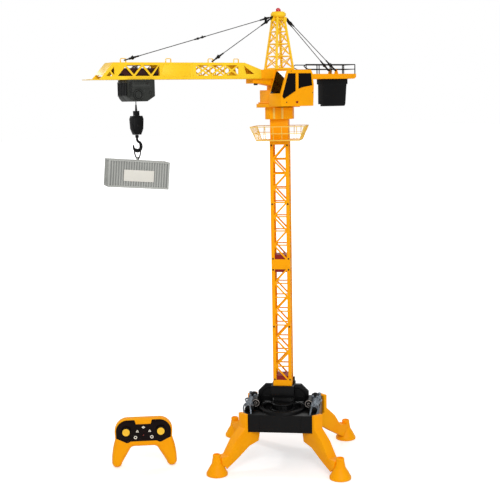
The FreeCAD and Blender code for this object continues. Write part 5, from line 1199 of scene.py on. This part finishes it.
def makePadHalf(name, sign):
    outline = padOutline()
    bm = bmesh.new()
    face = bm.faces.new([bm.verts.new(place(x, 0, z)) for x, z in outline])
    for width in pad["rings"]:
        bmesh.ops.inset_region(bm, faces=[face], thickness=width * mm, use_even_offset=True)
    for axis, low, high in ((xAxis, -pad["reach"], pad["reach"]), (zAxis, 0, pad["top"])):
        spot = low + pad["cell"]
        while spot < high:
            bmesh.ops.bisect_plane(bm, geom=bm.verts[:] + bm.edges[:] + bm.faces[:], dist=1e-7,
                                   plane_co=axis * spot * mm, plane_no=axis)
            spot += pad["cell"]
    border = [e for e in bm.edges if e.is_boundary]
    gripTop, blend = pad["gripFrom"]
    rimWide, fasciaWide = pad["border"]
    wellRadius, wellDepth = pad["well"]
    for vert in bm.verts:
        x, z = vert.co.x / mm, vert.co.z / mm
        gap = nearestEdge(outline, x, z)[0]
        share = max(0.0, min(1.0, (gripTop - z) / blend))
        share = share * share * (3 - 2 * share)
        r = pad["rim"] + (pad["roundGrip"] - pad["rim"]) * share if sign < 0 else pad["roundBack"]
        near = min(gap, r)
        depth = pad["half"] - r + math.sqrt(max(0.0, r * r - (r - near) ** 2))
        if sign < 0 and gap > rimWide and fasciaInset(x, z) > fasciaWide:
            depth = min(depth, pad["floor"])
            if min(math.hypot(x - sx, z - sz) for sx, sz in pad["sticks"]) < wellRadius:
                depth = wellDepth
        vert.co.y = sign * depth * mm
    wall = bmesh.ops.extrude_edge_only(bm, edges=border)["geom"]
    wallEnd, lipWide, lipEnd = pad["seam"]               # a fine dark line where the two halves meet
    for vert in (v for v in wall if isinstance(v, bmesh.types.BMVert)):
        vert.co.y = sign * wallEnd * mm
    wallEdges = [e for e in wall if isinstance(e, bmesh.types.BMEdge)]
    lip = bmesh.ops.extrude_edge_only(bm, edges=wallEdges)["geom"]
    for vert in (v for v in lip if isinstance(v, bmesh.types.BMVert)):
        gap, nx, nz = nearestEdge(outline, vert.co.x / mm, vert.co.z / mm)
        vert.co.x += nx * lipWide * mm
        vert.co.z += nz * lipWide * mm
        vert.co.y = sign * lipEnd * mm
    bmesh.ops.triangle_fill(bm, use_beauty=True, edges=[e for e in bm.edges if e.is_boundary])
    finishPiece(name, bm, finish["mast_yellow"], "handset",
                ("handset_front",) if sign < 0 else ("handset_back",), smooth=50, turn=onHandset)


# stick caps with a dished, studded top, above a black gaiter
stickShape = {
    "cap": ((0, 10.7), (3, 10.6), (6, 10.9), (7.4, 11.5), (8.4, 11.8), (9.6, 11.5), (10.4, 10.6), (10.5, 9.2),
            (10, 8), (8.6, 7.5), (4.4, 7.2), (3.7, 6), (3.6, -4), (0, -4)),
    "gaiter": ((6.8, -1.9), (13.15, -1.9), (13.15, 0.2), (12.6, 0.8), (11.6, 0.6), (10.8, -0.4), (10, -0.2),
               (9.2, 0.3), (8.4, 0), (7.6, -0.9), (6.8, -1.2), (6.8, -1.9)),
    "studs": (8, 4.6, 10.6), "stud": ((0, 0.6), (0.6, 0.45), (0.9, 0), (0.9, -0.5), (0, -0.5))}

padPrints = {"face": 17.8, "proud": 0.2, "triangle": 5.0,
             "diamond": ((-5.2, 0), (0, -3.6), (5.2, 0), (0, 3.6)),
             "ring": ((2.7, 0), (4.7, 0), (4.7, 0.2), (2.7, 0.2), (2.7, 0)),
             "inner": {"diamond": 0.32, "triangle": 0.4},
             "at": {"key_diamond": (0, 119), "key_triangle_left": (-17.3, 107.5),
                    "key_triangle_right": (17.3, 107.5), "key_round_left": (-23, 90),
                    "key_round_right": (23, 90)}}


def addFrame(bm, outer, inner, low, high):
    count = len(outer)
    for k in range(count):
        n = (k + 1) % count
        addPrism(bm, [outer[k], outer[n], inner[n], inner[k]], "y", low, high)


def polygonAt(x, z, points, scale=1.0):
    return [(x + u * scale, z + v * scale) for u, v in points]


def makeSticks():
    face = -pad["half"]
    bm = bmesh.new()
    for x, z in pad["sticks"]:
        addTurned(bm, stickShape["gaiter"], (x, face, z), -yAxis)
    finishPiece("stickGaiters", bm, finish["black_plastic"], "handset", turn=onHandset)

    count, radius, level = stickShape["studs"]
    for (x, z), side in zip(pad["sticks"], ("left", "right")):
        bm = bmesh.new()
        addTurned(bm, stickShape["cap"], (x, face, z), -yAxis, steps=48)
        for k in range(count):
            angle = 2 * math.pi / count * k
            spot = (x + radius * math.cos(angle), face - level, z + radius * math.sin(angle))
            addTurned(bm, stickShape["stud"], spot, -yAxis, steps=10)
        finishPiece("stickCap" + side.capitalize(), bm, finish["stick_yellow"], "stick_" + side,
                    (side + "_stick",), turn=onHandset)


def makePrints():
    # the signs printed on the five keys
    low, high = -padPrints["face"] - padPrints["proud"], -padPrints["face"]
    size = padPrints["triangle"]
    corners = [math.radians(90 + 120 * k) for k in range(3)]
    shapes = {"diamond": padPrints["diamond"],
              "triangle": [(size * math.cos(corner), size * math.sin(corner)) for corner in corners]}
    for body, (x, z) in padPrints["at"].items():
        shape = body.split("_")[1]
        bm = bmesh.new()
        if shape in shapes:
            inner = polygonAt(x, z, shapes[shape], padPrints["inner"][shape])
            addFrame(bm, polygonAt(x, z, shapes[shape]), inner, low, high)
        else:
            addTurned(bm, padPrints["ring"], (x, high, z), -yAxis, steps=32)
        finishPiece("print_" + body, bm, printPale, body, turn=onHandset)


def makePadBack():
    # battery door with finger ribs, and the screws
    back = pad["half"]
    bm = bmesh.new()
    half, sunk, proud, low, high = pad["door"]
    addBox(bm, (-half, back - sunk, low), (half, back + proud, high))
    count, start, pitch = pad["fingerRibs"]
    for k in range(count):
        level = start + pitch * k
        addBox(bm, (-9, back + 0.4, level), (9, back + 1.2, level + 1))
    roundEdges(bm, 0.4, segments=2)
    finishPiece("padBatteryDoor", bm, finish["mast_yellow"], "handset", turn=onHandset)

    bm = bmesh.new()
    for x, z in pad["screws"]:
        addScrew(bm, (x, back + (proud if x == 0 else -0.1), z), yAxis, scale=0.8)
    finishPiece("padScrews", bm, finish["screw_black"], "handset", turn=onHandset)


def makePad():
    makePadHalf("padFront", -1)
    makePadHalf("padBack", 1)
    face = -pad["half"]

    bm = bmesh.new()
    half, sunk, proud, low, high = pad["tab"]
    addBox(bm, (-half, face - proud, low), (half, face + sunk, high))
    roundEdges(bm, 0.6, segments=3)
    finishPiece("padTab", bm, finish["mast_yellow"], "handset", turn=onHandset)
    makeSticks()
    makePrints()

    bm = bmesh.new()
    addTurned(bm, pad["lens"], (0, face, pad["lamp"]), -yAxis, steps=24)
    finishPiece("padLamp", bm, lampLens, "handset", turn=onHandset)
    makePadBack()
    print("handset dressed")


def makeJibAndLoad():
    makeWinchDetails()
    makeHoistRope()
    makeHook()
    makeWireHeart()
    makeFreight()
    makePendants()
    makeCabDetails()
    print("jib, load and lines dressed")


makeJibAndLoad()
makePad()


# floor and light: metres, then each lamp's spot, aim, size across and up, power in watts and roll
stageSetup = {"floorSize": 24.0, "floorColour": (0.9, 0.9, 0.9), "floorRough": 0.9, "floorSpecular": 0.1,
              "white": (1.0, 1.0, 1.0), "ambient": 0.5, "glow": 0.42, "paleFrom": 0.5, "paleTo": 2.4}
lamps = {"key": ((-1.9, -2.6, 3.2), (-0.1, 0, 0.6), (1.5, 1.5), 50.0, 0),
         "front": ((-0.6, -3.4, 1.5), (-0.1, 0, 0.6), (2.0, 1.6), 25.0, 0),
         "window": ((-1.009, 1.908, 2.075), (0.024, -0.075, 1.203), (0.36, 0.3), 15.0, 16.5),
         "back": ((2.0, 1.8, 2.2), (-0.1, 0, 0.6), (1.6, 1.6), 14.0, 0)}


def makeFloor():
    bm = bmesh.new()
    bmesh.ops.create_grid(bm, x_segments=1, y_segments=1, size=stageSetup["floorSize"])
    mesh = bpy.data.meshes.new("studioFloor")
    bm.to_mesh(mesh)
    bm.free()
    floor = bpy.data.objects.new("studioFloor", mesh)
    bpy.context.scene.collection.objects.link(floor)
    material = bpy.data.materials.new("studioFloorPaper")
    material.use_nodes = True
    tree = material.node_tree
    shader = tree.nodes["Principled BSDF"]
    shader.inputs["Base Color"].default_value = (*stageSetup["floorColour"], 1.0)
    shader.inputs["Roughness"].default_value = stageSetup["floorRough"]
    shader.inputs["Specular IOR Level"].default_value = stageSetup["floorSpecular"]
    shader.inputs["Emission Color"].default_value = (*stageSetup["white"], 1.0)
    # the paper runs out into white behind the toy
    far = tree.nodes.new("ShaderNodeVectorMath")
    far.operation = "LENGTH"
    tree.links.new(tree.nodes.new("ShaderNodeTexCoord").outputs["Object"], far.inputs[0])
    pale = rampNode(tree, far.outputs["Value"], stageSetup["paleFrom"], stageSetup["paleTo"])
    paler = mathNode(tree, "MULTIPLY", pale, 1.0 - stageSetup["glow"])
    glow = mathNode(tree, "ADD", stageSetup["glow"], paler)
    path = tree.nodes.new("ShaderNodeLightPath")
    seen = mathNode(tree, "MULTIPLY", path.outputs["Is Camera Ray"], glow)
    tree.links.new(seen, shader.inputs["Emission Strength"])
    mesh.materials.append(material)


def makeWorld():
    # white to the camera, and dimmer as light on the toy
    world = bpy.data.worlds.new("studioWorld")
    bpy.context.scene.world = world
    world.use_nodes = True
    tree = world.node_tree
    background = tree.nodes["Background"]
    path = tree.nodes.new("ShaderNodeLightPath")
    background.inputs["Color"].default_value = (*stageSetup["white"], 1.0)
    ambient = stageSetup["ambient"]
    seen = mathNode(tree, "MULTIPLY", path.outputs["Is Camera Ray"], 1.0 - ambient)
    tree.links.new(mathNode(tree, "ADD", ambient, seen), background.inputs["Strength"])


def makeLamp(name, spot, aimAt, size, power, roll):
    lamp = bpy.data.lights.new(name + "Lamp", "AREA")
    lamp.shape = "RECTANGLE"
    lamp.size, lamp.size_y = size
    lamp.energy = power
    holder = bpy.data.objects.new(name + "Lamp", lamp)
    bpy.context.scene.collection.objects.link(holder)
    aim = (Vector(aimAt) - Vector(spot)).to_track_quat("-Z", "Y").to_matrix().to_4x4()
    turn = aim @ Matrix.Rotation(math.radians(roll), 4, "Z")
    holder.matrix_world = Matrix.Translation(Vector(spot)) @ turn


makeFloor()
makeWorld()
for name, values in lamps.items():
    makeLamp(name, *values)
bpy.context.scene.view_settings.view_transform = "Standard"
print("stage and lamps placed")
